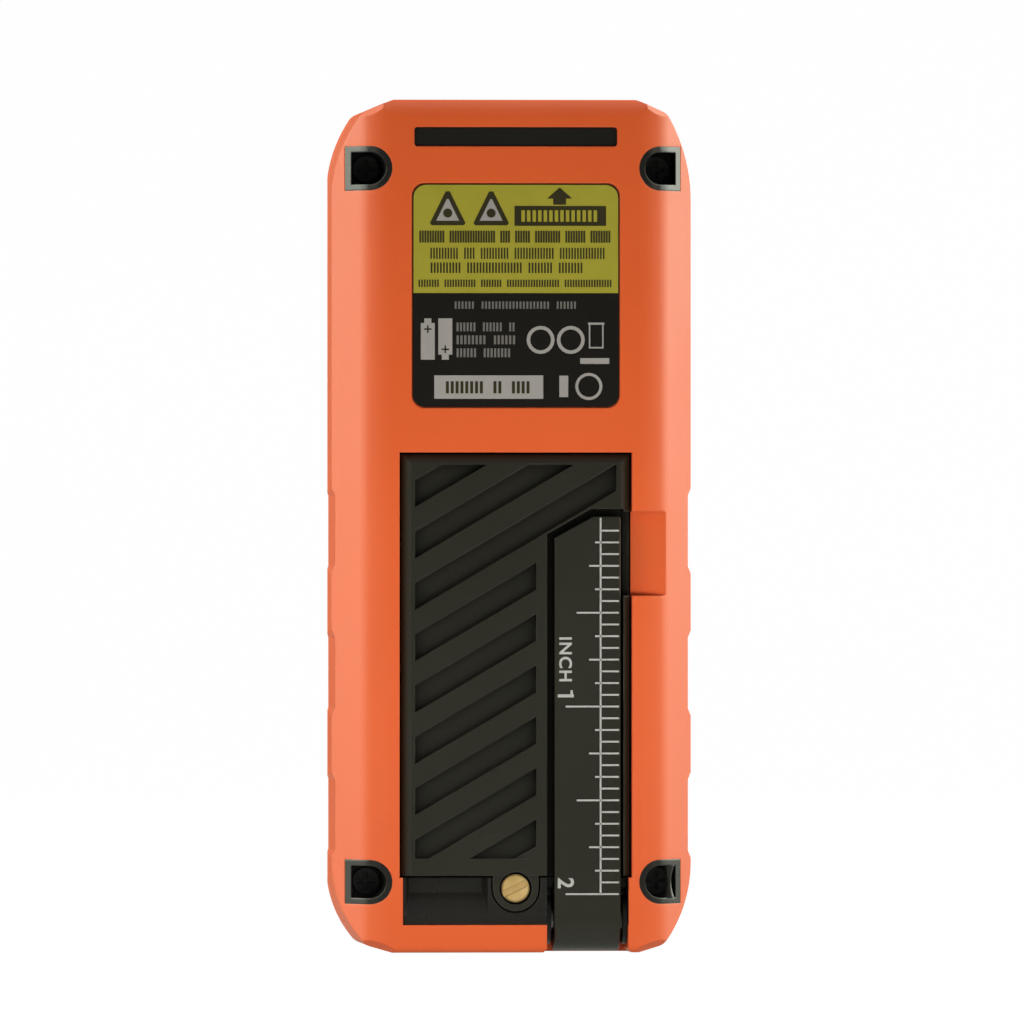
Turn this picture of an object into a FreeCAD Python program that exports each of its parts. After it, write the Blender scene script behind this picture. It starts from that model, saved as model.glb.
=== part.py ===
import FreeCAD, Part
import math
import os

# Handheld laser distance meter with a fold-out end stop. Lengths in millimetres.
# +Z runs up the long axis, the back faces +Y and the keys face -Y.
# The origin lies under the middle of the bottom end, which is the measuring reference.
# "Depth" is always measured inwards from the flat back.

V = FreeCAD.Vector
BACKWARD = V(0, 1, 0)
FORWARD = V(0, -1, 0)

# ---- overall sizes ----
body_width = 48.9
body_height = 115.5
body_depth = 27.6
key_proud = 0.8

# ---- outline seen from the back ----
top_corner_run = 8.0
top_corner_slope = 23.0
top_side_radius = 20.0
top_side_start = 13.5
bottom_corner_run = 7.7
bottom_corner_slope = 15.7
bottom_side_radius = 16.5
bottom_side_start = 12.1
corner_softening = 2.0

# ---- section across the body ----
back_flat_inset = 8.4
shoulder_radius = 5.6
side_facet_slope = 60.0
front_edge_radius = 4.7
side_draft = 0.25
end_edge_radius = 2.6
base_edge_radius = 0.8
top_crease_drop = 5.5
bottom_crease_rise = 3.6
crease_run = 5.5

# ---- walls and clearances ----
jacket_wall = 1.5
shell_wall = 1.5
inner_wall = 1.2
split_depth = 15.5
seal_width = 0.7
seal_height = 0.8
seam_gap = 0.25
moving_gap = 0.3
running_gap = 0.05
face_step = 0.5
seam_groove_width = 0.3
seam_groove_depth = 0.25
jacket_rim_radius = 0.2
face_rim_radius = 0.4
key_hole_radius = 0.25
rib_edge_radius = 0.1
foot_edge_radius = 0.3
slot_corner_chamfer = 0.5
rim_reach = 0.001

# ---- side grips ----
grip_depth = 0.45
grip_ramp = 1.0
grip_length = 10.6
grip_pitch = 19.3
grip_first_z = 13.2
grip_count = 3

# ---- label and top strip ----
label_width = 28.0
label_height = 30.2
label_gap = 0.1
label_bottom_z = 73.85
label_thickness = 0.25
label_corner = 1.7
strip_width = 27.5
strip_height = 2.6
strip_bottom_z = 109.15

# ---- battery bay, two AAA cells side by side ----
cell_diameter = 10.5
cell_length = 43.3
cell_button_diameter = 3.8
cell_button_height = 1.2
cell_pitch = 11.1
cell_side_gap = 0.35
contact_thickness = 0.4
spring_length = 4.2
spring_wire = 0.5
spring_turns = 5
spring_base_radius = 3.4
spring_tip_radius = 2.2
bay_bottom_z = 13.2

# ---- battery cover ----
cover_width = 31.0
cover_bottom_z = 10.4
cover_height = 57.05
cover_plate = 2.2
cover_sink = 0.15
cover_skirt_depth = 4.0
cover_skirt_wall = 1.2
cover_bevel_width = 1.25
cover_bevel_drop = 0.8
cover_seal_thickness = 0.6
rib_side_margin = 1.85
rib_top_margin = 1.4
rib_bottom_margin = 2.35
rib_slope = 30.5
rib_groove_height = 3.6
rib_pitch = 6.95
rib_first_drop = 7.05
rib_groove_depth = 1.5
scoop_length = 7.7
scoop_depth = 0.6

# ---- captive cover screw ----
screw_z = 8.7
screw_head_diameter = 3.8
screw_head_height = 1.3
screw_head_sink = 0.6
screw_slot_width = 0.95
screw_slot_depth = 0.6
screw_slot_angle = 27.0
screw_shank_diameter = 2.2
screw_length = 9.5
tab_half_width = 3.1
insert_diameter = 3.3
insert_wall = 1.3
insert_boss_length = 8.0
insert_length = 5.0
clip_diameter = 3.0
clip_thickness = 0.5

# ---- fold-out foot ----
foot_centre = 9.75
foot_width = 9.0
foot_thickness = 3.0
foot_tip_z = 59.05
foot_sink = 0.1
foot_tip_run = 5.3
foot_tip_drop = 2.9
knuckle_radius = 4.2
hinge_z = 4.4
pin_diameter = 2.5
pin_seat = 2.4
slot_side_gap = 1.0
trough_edge_gap = 0.35
washer_thickness = 0.65
washer_diameter = 6.6

# ---- finger notch beside the tip of the foot ----
notch_width = 5.15
notch_bottom_z = 48.3
notch_height = 11.4
notch_depth = 3.3
notch_outer_depth = 2.2
notch_overlap = 0.4
notch_corner = 1.0

# ---- black sill below the cover ----
sill_bottom_z = 3.75
sill_width = 30.6
sill_pocket_wall = 0.35
sill_pocket_width = 11.2
sill_pocket_bottom_z = 4.5
sill_pocket_depth = 1.9
sill_pocket_taper = 0.7
sill_pocket_ramp = 3.6

# ---- corner wells with the case screws ----
well_centre = 19.75
well_radius = 2.2
well_outer_reach = 2.25
well_rim = 0.8
top_well_drop = 9.3
bottom_well_z = 9.55
well_depth = 12.0
well_floor = 1.8
case_screw_head = 3.6
case_screw_head_height = 1.6
case_screw_shank = 2.0
case_screw_length = 11.0
case_boss_radius = 2.3
post_offset = 1.25
post_waist = 0.35
post_flare = 0.8
post_depth = 2.2

# ---- front: window, display, keys ----
front_wall = 1.8
face_sink = 0.3
face_margin = 3.6
face_corner = 5.0
window_width = 35.0
window_height = 40.0
window_top_drop = 12.5
window_thickness = 0.9
window_ledge = 1.6
display_width = 32.0
display_height = 36.0
display_thickness = 2.6
display_gap = 0.4
key_pitch_x = 13.4
key_pitch_z = 14.0
key_row_z = 17.5
key_width = 9.6
key_height = 8.2
key_corner = 3.0
measure_key_diameter = 12.6
key_travel = 0.6
key_flange = 1.0
key_flange_thickness = 0.8
key_stem_diameter = 3.0
mat_thickness = 1.0
mat_plunger_diameter = 2.4
dome_diameter = 5.0
dome_height = 0.6

# ---- circuit board ----
board_depth = 18.2
board_thickness = 1.2
board_width = 36.0
board_bottom_z = 14.5
board_height = 88.0
board_screw_head = 3.6
board_screw_head_height = 1.1
board_screw_shank = 1.6
board_boss_radius = 1.7
board_screw_x = 15.0
board_screw_low_z = 24.5
board_screw_high_z = 60.0

buzzer_z = 58.0
buzzer_diameter = 6.8
buzzer_height = 2.2
buzzer_hole_diameter = 1.2
chip_thickness = 0.9
processor_width = 9.0
processor_low_z = 24.0
range_chip_width = 6.0
range_chip_x = 8.5
range_chip_low_z = 50.5

# ---- optics ----
optics_bottom_z = 74.0
optics_width = 29.0
optics_depth_start = 4.0
optics_depth = 12.8
optics_screw_head = 3.0
receiver_offset = 5.4
receiver_lens_diameter = 12.4
receiver_lens_thickness = 3.2
receiver_cone = 5.0
laser_offset = 8.6
laser_tube_diameter = 7.2
laser_tube_wall = 0.8
laser_tube_length = 22.0
cap_width = 28.4
cap_depth_start = 4.4
cap_depth = 13.6
cap_thickness = 2.4
cap_sink = 0.3
receiver_window_diameter = 13.0
emitter_window_diameter = 5.6
pane_thickness = 1.0

# ---- values worked out from the sizes above ----
half_width = body_width / 2
back_y = (body_depth + key_proud) / 2
front_y = back_y - body_depth
cover_top_z = cover_bottom_z + cover_height
cover_half = cover_width / 2
seat_depth = cover_skirt_depth + cover_seal_thickness
cell_depth = seat_depth + cell_side_gap + cell_diameter / 2
cell_total_length = cell_length + cell_button_height
bay_half_width = cell_pitch / 2 + cell_diameter / 2 + cell_side_gap
bay_floor_depth = cell_depth + cell_diameter / 2 + cell_side_gap
bay_length = cell_total_length + spring_length + 2 * contact_thickness
bay_top_z = bay_bottom_z + bay_length
hinge_depth = foot_sink + knuckle_radius
slot_half_width = foot_width / 2 + slot_side_gap
slot_depth = hinge_depth + knuckle_radius + 1.3 * moving_gap
trough_depth = foot_sink + foot_thickness + moving_gap
pocket_radius = knuckle_radius + moving_gap
top_well_z = body_height - top_well_drop
inner_inset = jacket_wall + shell_wall
front_inner_depth = body_depth - front_wall
optics_top_z = body_height - inner_inset - cap_thickness + shell_wall - 0.4
board_front_depth = board_depth + board_thickness
flange_top_depth = front_inner_depth - 0.4
flange_bottom_depth = flange_top_depth - key_flange_thickness
stem_end_depth = flange_bottom_depth - 0.8
mat_front_depth = stem_end_depth - key_travel - 0.1
mat_back_depth = mat_front_depth - mat_thickness
window_top_z = body_height - window_top_drop
window_bottom_z = window_top_z - window_height
big = 2 * body_height


# ---- shape helpers ----
def box(x0, x1, depth0, depth1, z0, z1):
    """Block between two widths, two depths below the back and two heights."""
    return Part.makeBox(x1 - x0, depth1 - depth0, z1 - z0, V(x0, back_y - depth1, z0))


def rod_y(x, z, radius, depth0, depth1):
    """Cylinder along the depth."""
    return Part.makeCylinder(radius, depth1 - depth0, V(x, back_y - depth1, z), V(0, 1, 0))


def rod_x(depth, z, radius, x0, x1):
    return Part.makeCylinder(radius, x1 - x0, V(x0, back_y - depth, z), V(1, 0, 0))


def rod_z(x, depth, radius, z0, z1):
    return Part.makeCylinder(radius, z1 - z0, V(x, back_y - depth, z0), V(0, 0, 1))


def soft_box(x0, x1, depth0, depth1, z0, z1, radius):
    """Block with its four edges along the depth rounded."""
    block = box(x0, x1, depth0, depth1, z0, z1)
    return block.makeFillet(radius, edges_along(block, V(0, 1, 0)))


def edges_along(shape, direction):
    found = []
    for edge in shape.Edges:
        if isinstance(edge.Curve, Part.Line):
            if abs(edge.tangentAt(edge.FirstParameter).dot(direction)) > 0.999:
                found.append(edge)
    return found


def rim_edges(shape, y, outward):
    """Edges on the plane at y where a face looking outward meets an upright wall."""
    found = []
    for edge in shape.Edges:
        if abs(edge.BoundBox.YMin - y) > rim_reach or abs(edge.BoundBox.YMax - y) > rim_reach:
            continue
        place = edge.valueAt((edge.FirstParameter + edge.LastParameter) / 2)
        leans = []
        for face in shape.ancestorsOfType(edge, Part.Face):
            u, v = face.Surface.parameter(place)
            leans.append(face.normalAt(u, v).dot(outward))
        if len(leans) == 2 and max(leans) > 0.99 and abs(min(leans)) < 0.2:
            found.append(edge)
    return found


def soften(shape, y, outward, radius):
    return shape.makeFillet(radius, rim_edges(shape, y, outward))


def polygon(points):
    return Part.Face(Part.makePolygon(points + [points[0]]))


def flat_prism(points, depth0, depth1):
    """Prism along the depth from (x, z) corners."""
    face = polygon([V(x, back_y - depth1, z) for x, z in points])
    return face.extrude(V(0, depth1 - depth0, 0))


def union(first, *others):
    for other in others:
        first = first.fuse(other)
    return first.removeSplitter()


def arc(start, middle, end):
    return Part.Arc(start, middle, end).toShape()


def line(start, end):
    return Part.LineSegment(start, end).toShape()


# ---- the outer form ----
def corner_meeting(run, slope, radius, start):
    """Where a corner's sloped line meets the side's arc: distance out and in from the end."""
    centre = half_width - radius
    rise = math.tan(math.radians(slope))
    corner = half_width - run
    a = 1 + rise ** 2
    b = -2 * centre - 2 * rise * (rise * corner + start)
    c = centre ** 2 + (rise * corner + start) ** 2 - radius ** 2
    out = (-b + math.sqrt(b ** 2 - 4 * a * c)) / (2 * a)
    return out, rise * (out - corner)


def side_arc_point(out, radius, start):
    """Height of the side's arc above the end, at a distance out from the middle."""
    return start - math.sqrt(radius ** 2 - (out - half_width + radius) ** 2)


def outline_solid(inset):
    """Front outline run along the whole depth, drawn in by the inset."""
    top_x, top_drop = corner_meeting(top_corner_run, top_corner_slope, top_side_radius, top_side_start)
    low_x, low_rise = corner_meeting(bottom_corner_run, bottom_corner_slope,
                                     bottom_side_radius, bottom_side_start)
    top_mid_x = (top_x + half_width) / 2 + 0.3
    top_mid = V(top_mid_x, 0, body_height - side_arc_point(top_mid_x, top_side_radius, top_side_start))
    low_mid_x = (low_x + half_width) / 2 + 0.3
    low_mid = V(low_mid_x, 0, side_arc_point(low_mid_x, bottom_side_radius, bottom_side_start))
    right = [
        line(V(0, 0, 0), V(half_width - bottom_corner_run, 0, 0)),
        line(V(half_width - bottom_corner_run, 0, 0), V(low_x, 0, low_rise)),
        arc(V(low_x, 0, low_rise), low_mid, V(half_width, 0, bottom_side_start)),
        line(V(half_width, 0, bottom_side_start), V(half_width, 0, body_height - top_side_start)),
        arc(V(half_width, 0, body_height - top_side_start), top_mid, V(top_x, 0, body_height - top_drop)),
        line(V(top_x, 0, body_height - top_drop), V(half_width - top_corner_run, 0, body_height)),
        line(V(half_width - top_corner_run, 0, body_height), V(0, 0, body_height)),
    ]
    left = [edge.mirror(V(0, 0, 0), V(1, 0, 0)) for edge in right]
    outline = Part.Wire(Part.__sortEdges__(right + left))
    if inset:
        outline = outline.makeOffset2D(-inset, 2)
    solid = Part.Face(outline).extrude(V(0, big, 0))
    solid.translate(V(0, -big / 2, 0))
    corners = []
    for edge in edges_along(solid, V(0, 1, 0)):
        x, z = abs(edge.Vertexes[0].X), edge.Vertexes[0].Z
        if x > half_width - top_corner_run + 1.5 and (z < 4 or z > body_height - 5):
            corners.append(edge)
    return solid.makeFillet(max(corner_softening - inset, 0.4), corners)


def section_solid(inset):
    """Cross-section run along the whole height, drawn in by the inset."""
    slope = math.radians(side_facet_slope)
    flat = half_width - back_flat_inset
    shoulder_x = flat + shoulder_radius * math.sin(slope)
    shoulder_y = back_y - shoulder_radius * (1 - math.cos(slope))
    facet_y = shoulder_y - (half_width - shoulder_x) * math.tan(slope)
    half = slope / 2
    round_mid = V(flat + shoulder_radius * math.sin(half),
                  back_y - shoulder_radius * (1 - math.cos(half)), 0)
    side_x = half_width - side_draft
    front_x = side_x - front_edge_radius
    lean = front_edge_radius * (1 - math.sqrt(0.5))
    right = [
        line(V(0, back_y, 0), V(flat, back_y, 0)),
        arc(V(flat, back_y, 0), round_mid, V(shoulder_x, shoulder_y, 0)),
        line(V(shoulder_x, shoulder_y, 0), V(half_width, facet_y, 0)),
        line(V(half_width, facet_y, 0), V(side_x, front_y + front_edge_radius, 0)),
        arc(V(side_x, front_y + front_edge_radius, 0), V(side_x - lean, front_y + lean, 0),
            V(front_x, front_y, 0)),
        line(V(front_x, front_y, 0), V(0, front_y, 0)),
    ]
    left = [edge.mirror(V(0, 0, 0), V(1, 0, 0)) for edge in right]
    section = Part.Wire(Part.__sortEdges__(right + left))
    if inset:
        section = section.makeOffset2D(-inset, 0)
    solid = Part.Face(section).extrude(V(0, 0, 2 * big))
    solid.translate(V(0, 0, -big))
    return solid


def profile_solid(inset):
    """Side profile run across the whole width: rounded ends, a crisp rear bottom edge."""
    block = Part.makeBox(2 * big, body_depth - 2 * inset, body_height - 2 * inset,
                         V(-big, front_y + inset, inset))
    rounds = {}
    for edge in edges_along(block, V(1, 0, 0)):
        middle = edge.Vertexes[0].Point
        sharp = middle.y > 0 and middle.z < body_height / 2
        rounds.setdefault(base_edge_radius if sharp else end_edge_radius, []).append(edge)
    solid = block.makeFillet(max(end_edge_radius - inset, 0.5), rounds[end_edge_radius])
    if inset < base_edge_radius:
        low = [e for e in edges_along(solid, V(1, 0, 0))
               if e.Vertexes[0].Y > back_y - inset - 0.01 and e.Vertexes[0].Z < inset + 0.01]
        solid = solid.makeFillet(base_edge_radius - inset, low)
    return solid


def corner_facet(side, at_top, inset):
    """Block that shaves one rear corner: its inner face is the sloped corner facet."""
    slope = math.radians(side_facet_slope)
    if at_top:
        start = V(side * (half_width - top_corner_run), back_y, body_height)
        along = V(side * crease_run, 0, -top_crease_drop)
        outward = V(side * top_crease_drop, 0, crease_run)
    else:
        start = V(side * (half_width - bottom_corner_run - 1.0), back_y, 0)
        along = V(side * crease_run, 0, bottom_crease_rise)
        outward = V(side * bottom_crease_rise, 0, -crease_run)
    along.normalize()
    outward.normalize()
    normal = outward * math.sin(slope) + V(0, 1, 0) * math.cos(slope)
    cutter = Part.makeBox(2 * big, 2 * big, big, V(-big, -big, 0))
    turn = FreeCAD.Rotation(along, normal.cross(along), normal, "ZXY")
    cutter.Placement = FreeCAD.Placement(start - normal * inset, turn)
    return cutter


def body_form(inset):
    form = outline_solid(inset).common(section_solid(inset)).common(profile_solid(inset))
    for side in (-1, 1):
        for at_top in (True, False):
            form = form.cut(corner_facet(side, at_top, inset))
    return form


def grip_cutters():
    """Shallow grip recesses with ramped ends, along both vertical sides."""
    cutters = []
    floor_x = half_width - grip_depth
    for index in range(grip_count):
        low = grip_first_z + index * grip_pitch
        high = low + grip_length
        for side in (-1, 1):
            corners = [(side * (half_width + 1), low - grip_ramp * 1.5),
                       (side * half_width, low - grip_ramp / 2),
                       (side * floor_x, low + grip_ramp / 2), (side * floor_x, high - grip_ramp / 2),
                       (side * half_width, high + grip_ramp / 2),
                       (side * (half_width + 1), high + grip_ramp * 1.5)]
            cutters.append(flat_prism(corners, -1, body_depth + 1))
    return cutters


def finger_notch(grow):
    """Finger notch beside the tip of the foot, deepest at the foot, grown by a wall where asked."""
    outer_x = -(cover_half + notch_width) - grow
    inner_x = -(foot_centre + foot_width / 2 - notch_overlap)
    deep = notch_depth + grow
    shallow = notch_outer_depth + grow
    low_z = notch_bottom_z - grow
    high_z = notch_bottom_z + notch_height + grow
    block = soft_box(outer_x, inner_x, -5, deep, low_z, high_z, notch_corner + grow)
    beyond = (deep - shallow) / (inner_x - outer_x)
    under_floor = polygon([V(inner_x, back_y - deep, low_z - 1), V(inner_x, back_y - deep - 1, low_z - 1),
                           V(outer_x - 1, back_y - deep - 1, low_z - 1),
                           V(outer_x - 1, back_y - shallow + beyond, low_z - 1)])
    return block.cut(under_floor.extrude(V(0, 0, high_z - low_z + 2)))


def rear_half(shape):
    return shape.common(box(-big, big, -1, split_depth, -1, body_height + 1))


def front_half(shape):
    return shape.common(box(-big, big, split_depth, body_depth + 1, -1, body_height + 1))


def d_shape(side, z, radius, reach, depth0, depth1):
    """D-shaped column: round towards the middle, squared towards the side."""
    x = side * well_centre
    rounded = rod_y(x, z, radius, depth0, depth1)
    squared = box(min(x, x + side * reach), max(x, x + side * reach), depth0, depth1, z - radius, z + radius)
    return rounded.fuse(squared).removeSplitter()


def wells():
    for side in (-1, 1):
        for z in (top_well_z, bottom_well_z):
            yield side, z


def cover_opening(grow, depth1):
    """Room for the cover, grown outwards by a clearance."""
    return box(-cover_half - grow, cover_half + grow, -1, depth1, cover_bottom_z - grow, cover_top_z + grow)


def sill_block(depth0, depth1):
    half = sill_width / 2
    return box(-half, half, depth0, depth1, sill_bottom_z, cover_bottom_z - seam_gap)


def foot_slot():
    """Slot for the foot's knuckle, open to the back and to the bottom."""
    x0 = -foot_centre - slot_half_width
    x1 = -foot_centre + slot_half_width
    lower = box(x0, x1, -1, slot_depth, -1, hinge_z)
    round_part = rod_x(hinge_depth, hinge_z, pocket_radius, x0, x1)
    upper = box(x0, x1, -1, trough_depth, -1, cover_bottom_z)
    back = box(x0, x1, -1, hinge_depth, -1, hinge_z + pocket_radius * 0.75)
    return lower.fuse(round_part).fuse(upper).fuse(back).removeSplitter()


# ---- casing ----
form_outer = body_form(0)
form_core = body_form(jacket_wall)
form_inner = body_form(inner_inset)

cap_opening = box(-cap_width / 2 - seam_gap, cap_width / 2 + seam_gap, cap_depth_start - seam_gap,
                  cap_depth_start + cap_depth + seam_gap, body_height - 6, body_height + 1)
core = form_core.cut(finger_notch(jacket_wall))
hollow = form_inner.cut(finger_notch(jacket_wall + shell_wall))


def jacket_body():
    jacket = form_outer.cut(core).cut(finger_notch(0)).cut(cap_opening)
    seam = form_outer.cut(body_form(seam_groove_depth))
    jacket = jacket.cut(seam.common(box(-big, big, split_depth - seam_groove_width / 2,
                                        split_depth + seam_groove_width / 2, -1, body_height + 1)))
    for cutter in grip_cutters():
        jacket = jacket.cut(cutter)
    return jacket


full_jacket = jacket_body()


def rear_jacket():
    """Soft orange overmould bonded round the rear shell, with its windows."""
    jacket = rear_half(full_jacket)
    jacket = jacket.cut(cover_opening(seam_gap, split_depth))
    jacket = jacket.cut(sill_block(-1, seat_depth))
    jacket = jacket.cut(foot_slot())
    label_half = label_width / 2 + label_gap
    jacket = jacket.cut(soft_box(-label_half, label_half, -1, label_thickness + label_gap,
                                 label_bottom_z - label_gap, label_bottom_z + label_height + label_gap,
                                 label_corner))
    jacket = jacket.cut(soft_box(-strip_width / 2, strip_width / 2, -1, jacket_wall + 1,
                                 strip_bottom_z, strip_bottom_z + strip_height, 0.4))
    for side, z in wells():
        jacket = jacket.cut(d_shape(side, z, well_radius + well_rim, well_outer_reach + well_rim, -1,
                                    split_depth))
    jacket = soften(jacket, back_y, BACKWARD, jacket_rim_radius)
    for wall_x, outward in ((-foot_centre - slot_half_width, -1), (-foot_centre + slot_half_width, 1)):
        reach = wall_x + outward * slot_corner_chamfer
        jacket = jacket.cut(flat_prism([(wall_x - outward, -1), (reach + outward, -1), (reach, 0),
                                        (wall_x, slot_corner_chamfer),
                                        (wall_x - outward, slot_corner_chamfer)],
                                       -1, slot_depth))
    return jacket


def rear_shell():
    """Hard black rear shell: battery bay, hinge block, screw wells and the sill."""
    shell = rear_half(core.cut(hollow))
    seat = box(-cover_half - seam_gap - inner_wall, cover_half + seam_gap + inner_wall, 0,
               seat_depth + inner_wall,
               cover_bottom_z - 2 * inner_wall, cover_top_z + seam_gap + inner_wall).common(core)
    bay = box(-bay_half_width - inner_wall, bay_half_width + inner_wall, seat_depth,
              bay_floor_depth + inner_wall,
              bay_bottom_z - inner_wall, bay_top_z + inner_wall)
    hinge_block = box(-foot_centre - slot_half_width - pin_seat - 0.4,
                      -foot_centre + slot_half_width + pin_seat,
                      face_step, slot_depth + inner_wall, jacket_wall, cover_bottom_z - seam_gap)
    sill = sill_block(face_step, seat_depth)
    boss = rod_y(0, screw_z, insert_diameter / 2 + insert_wall, seat_depth - 1,
                 seat_depth + insert_boss_length)
    strip = soft_box(-strip_width / 2, strip_width / 2, face_step, jacket_wall + 0.5,
                     strip_bottom_z, strip_bottom_z + strip_height, 0.4)
    shell = union(shell, seat, bay, sill, boss, strip)
    shell = union(shell, hinge_block.common(union(core, sill)))
    for side, z in wells():
        column = d_shape(side, z, well_radius + well_rim, well_outer_reach + well_rim, 0,
                         well_depth + well_floor).common(form_outer)
        shell = shell.fuse(column)
    shell = shell.cut(cover_opening(seam_gap, seat_depth))
    shell = shell.cut(box(-bay_half_width, bay_half_width, 0, bay_floor_depth, bay_bottom_z, bay_top_z))
    shell = shell.cut(foot_slot())
    shell = shell.cut(finger_notch(jacket_wall))
    tab_gap = tab_half_width + seam_gap
    shell = shell.cut(rod_y(0, screw_z, tab_gap, -1, cover_plate + cover_sink))
    shell = shell.cut(box(-tab_gap, tab_gap, -1, cover_plate + cover_sink, screw_z, cover_bottom_z))
    shell = shell.cut(rod_y(0, screw_z, clip_diameter / 2 + moving_gap, -1, clip_floor_depth()))
    shell = shell.cut(rod_y(0, screw_z, insert_diameter / 2, 0, clip_floor_depth() + insert_length))
    shell = shell.cut(rod_y(0, screw_z, screw_shank_diameter / 2 + moving_gap, 0, screw_tip_depth() + 0.4))
    shell = shell.cut(sill_pocket())
    shell = shell.cut(rod_x(hinge_depth, hinge_z, pin_diameter / 2, pin_start_x(), pin_end_x()))
    for side, z in wells():
        shell = shell.cut(d_shape(side, z, well_radius, well_outer_reach, -1, well_depth))
        shell = shell.cut(rod_y(side * well_centre, z, case_screw_shank / 2, 0, split_depth + 1))
    return shell.cut(cap_opening).removeSplitter()


def clip_floor_depth():
    return cover_sink + cover_plate + 2 * moving_gap + clip_thickness


def screw_tip_depth():
    return screw_head_sink + screw_length


def pin_start_x():
    return -foot_centre - slot_half_width - pin_seat


def pin_end_x():
    return -foot_centre + slot_half_width + pin_seat


def sill_pocket():
    """Finger scoop left of the screw as seen from the back, deepest below the cover's edge."""
    x1 = sill_width / 2 - sill_pocket_wall
    x0 = x1 - sill_pocket_width
    rings = []
    floor_depth = face_step + sill_pocket_depth
    for depth, taper, ramp in ((0, -0.2, -0.4), (floor_depth, sill_pocket_taper, sill_pocket_ramp)):
        y = back_y - depth
        z0 = sill_pocket_bottom_z + ramp
        z1 = cover_bottom_z
        rings.append(Part.makePolygon([V(x0 + taper, y, z0), V(x1 - taper, y, z0), V(x1 - taper, y, z1),
                                       V(x0 + taper, y, z1), V(x0 + taper, y, z0)]))
    return Part.makeLoft(rings, True, True)


def front_boss(x, z, radius, depth0):
    """Screw boss standing on the inside of the front wall."""
    return rod_y(x, z, radius, depth0, front_inner_depth).common(form_inner.fuse(front_pocket()))


def front_pocket():
    """Room behind the face for the keys and the display."""
    return face_opening(-shell_wall, split_depth, front_inner_depth)


def face_opening(grow, depth0, depth1):
    """Opening in the front jacket that leaves the black face bare."""
    half = half_width - face_margin + grow
    return soft_box(-half, half, depth0, depth1, face_margin - grow,
                    body_height - face_margin + grow, face_corner)


def front_jacket():
    """Orange overmould round the front shell, open over the face."""
    jacket = front_half(full_jacket).cut(face_opening(0, split_depth, body_depth + 1))
    return soften(jacket, front_y, FORWARD, face_rim_radius)


def front_shell():
    """Black front shell with the face, key holes, window seat and screw bosses."""
    shell = front_half(form_core.cut(form_inner)).cut(front_pocket())
    face = face_opening(0, front_inner_depth, body_depth - face_sink).common(form_outer)
    shell = union(shell, face)
    for side, z in wells():
        shell = shell.fuse(front_boss(side * well_centre, z, case_boss_radius, well_depth + well_floor))
    for x, z in board_screw_places():
        shell = shell.fuse(front_boss(x, z, board_boss_radius, board_front_depth))
    window_half = window_width / 2
    shell = shell.cut(soft_box(-window_half - 0.1, window_half + 0.1,
                               body_depth - face_sink - window_thickness,
                               body_depth + 1, window_bottom_z - 0.1, window_top_z + 0.1, 2.0))
    shell = shell.cut(box(-window_half + window_ledge, window_half - window_ledge, front_inner_depth - 1,
                          body_depth + 1, window_bottom_z + window_ledge, window_top_z - window_ledge))
    for name, x, z in key_places():
        shell = shell.cut(key_outline(name, x, z, moving_gap, front_inner_depth - 1, body_depth + 1))
    for side, z in wells():
        shell = shell.cut(rod_y(side * well_centre, z, case_screw_shank / 2, 0,
                                case_screw_end_depth() + 0.5))
    for x, z in board_screw_places():
        shell = shell.cut(rod_y(x, z, board_screw_shank / 2, 0, board_screw_end_depth() + 0.3))
    shell = shell.cut(cap_opening)
    shell = shell.cut(seal_ring(0)).removeSplitter()
    return soften(shell, front_y + face_sink, FORWARD, key_hole_radius)


def seal_ring(gap):
    """Ring that follows the parting line inside the shell wall."""
    inset = jacket_wall + (shell_wall - seal_width) / 2
    ring = body_form(inset).cut(body_form(inset + seal_width)).cut(cap_opening)
    return ring.common(box(-big, big, split_depth + gap, split_depth + seal_height, -1, body_height + 1))


def end_cap():
    """Black cap over the optics with seats for the two panes."""
    top = body_height - cap_sink
    cap = box(-cap_width / 2, cap_width / 2, cap_depth_start, cap_depth_start + cap_depth,
              top - cap_thickness, top)
    cap = cap.makeFillet(2.0, edges_along(cap, V(0, 0, 1)))
    depth = cap_depth_start + cap_depth / 2
    for x, diameter in ((receiver_offset, receiver_window_diameter),
                        (-laser_offset, emitter_window_diameter)):
        cap = cap.cut(rod_z(x, depth, diameter / 2, top - pane_thickness - 0.4, top + 1))
        cap = cap.cut(rod_z(x, depth, diameter / 2 - 0.8, top - cap_thickness - 1, top + 1))
    return cap


def pane(x, diameter):
    top = body_height - cap_sink - 0.4
    return rod_z(x, cap_depth_start + cap_depth / 2, diameter / 2, top - pane_thickness, top)


# ---- label ----
def label_plate():
    return soft_box(-label_width / 2, label_width / 2, 0.1, 0.1 + label_thickness,
                    label_bottom_z, label_bottom_z + label_height, label_corner)


# ---- battery cover ----
def rib_grooves():
    """Slanting grooves in the cover, kept clear of the foot's trough."""
    edge_x = cover_half - rib_side_margin
    inner_x = -foot_centre + foot_width / 2 + slot_side_gap + 1.5
    low_z = cover_bottom_z + rib_bottom_margin
    high_z = cover_top_z - rib_top_margin
    rise = math.tan(math.radians(rib_slope))
    third = high_z - rib_first_drop + 1.35 - 2 * rib_pitch
    notch_z = third + rise * (edge_x - inner_x)
    region = flat_prism([(edge_x, low_z), (inner_x, low_z), (inner_x, notch_z),
                         (-edge_x, third + rise * 2 * edge_x), (-edge_x, high_z), (edge_x, high_z)],
                        -1, cover_sink + rib_groove_depth)
    span = 2 * edge_x
    grooves = []
    for index in range(9):
        low = third + (2 - index) * rib_pitch
        bar = flat_prism([(edge_x, low), (edge_x, low + rib_groove_height),
                          (edge_x - span, low + rib_groove_height + rise * span),
                          (edge_x - span, low + rise * span)],
                         -1, cover_sink + rib_groove_depth)
        grooves.append(bar.common(region))
    return grooves


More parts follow.
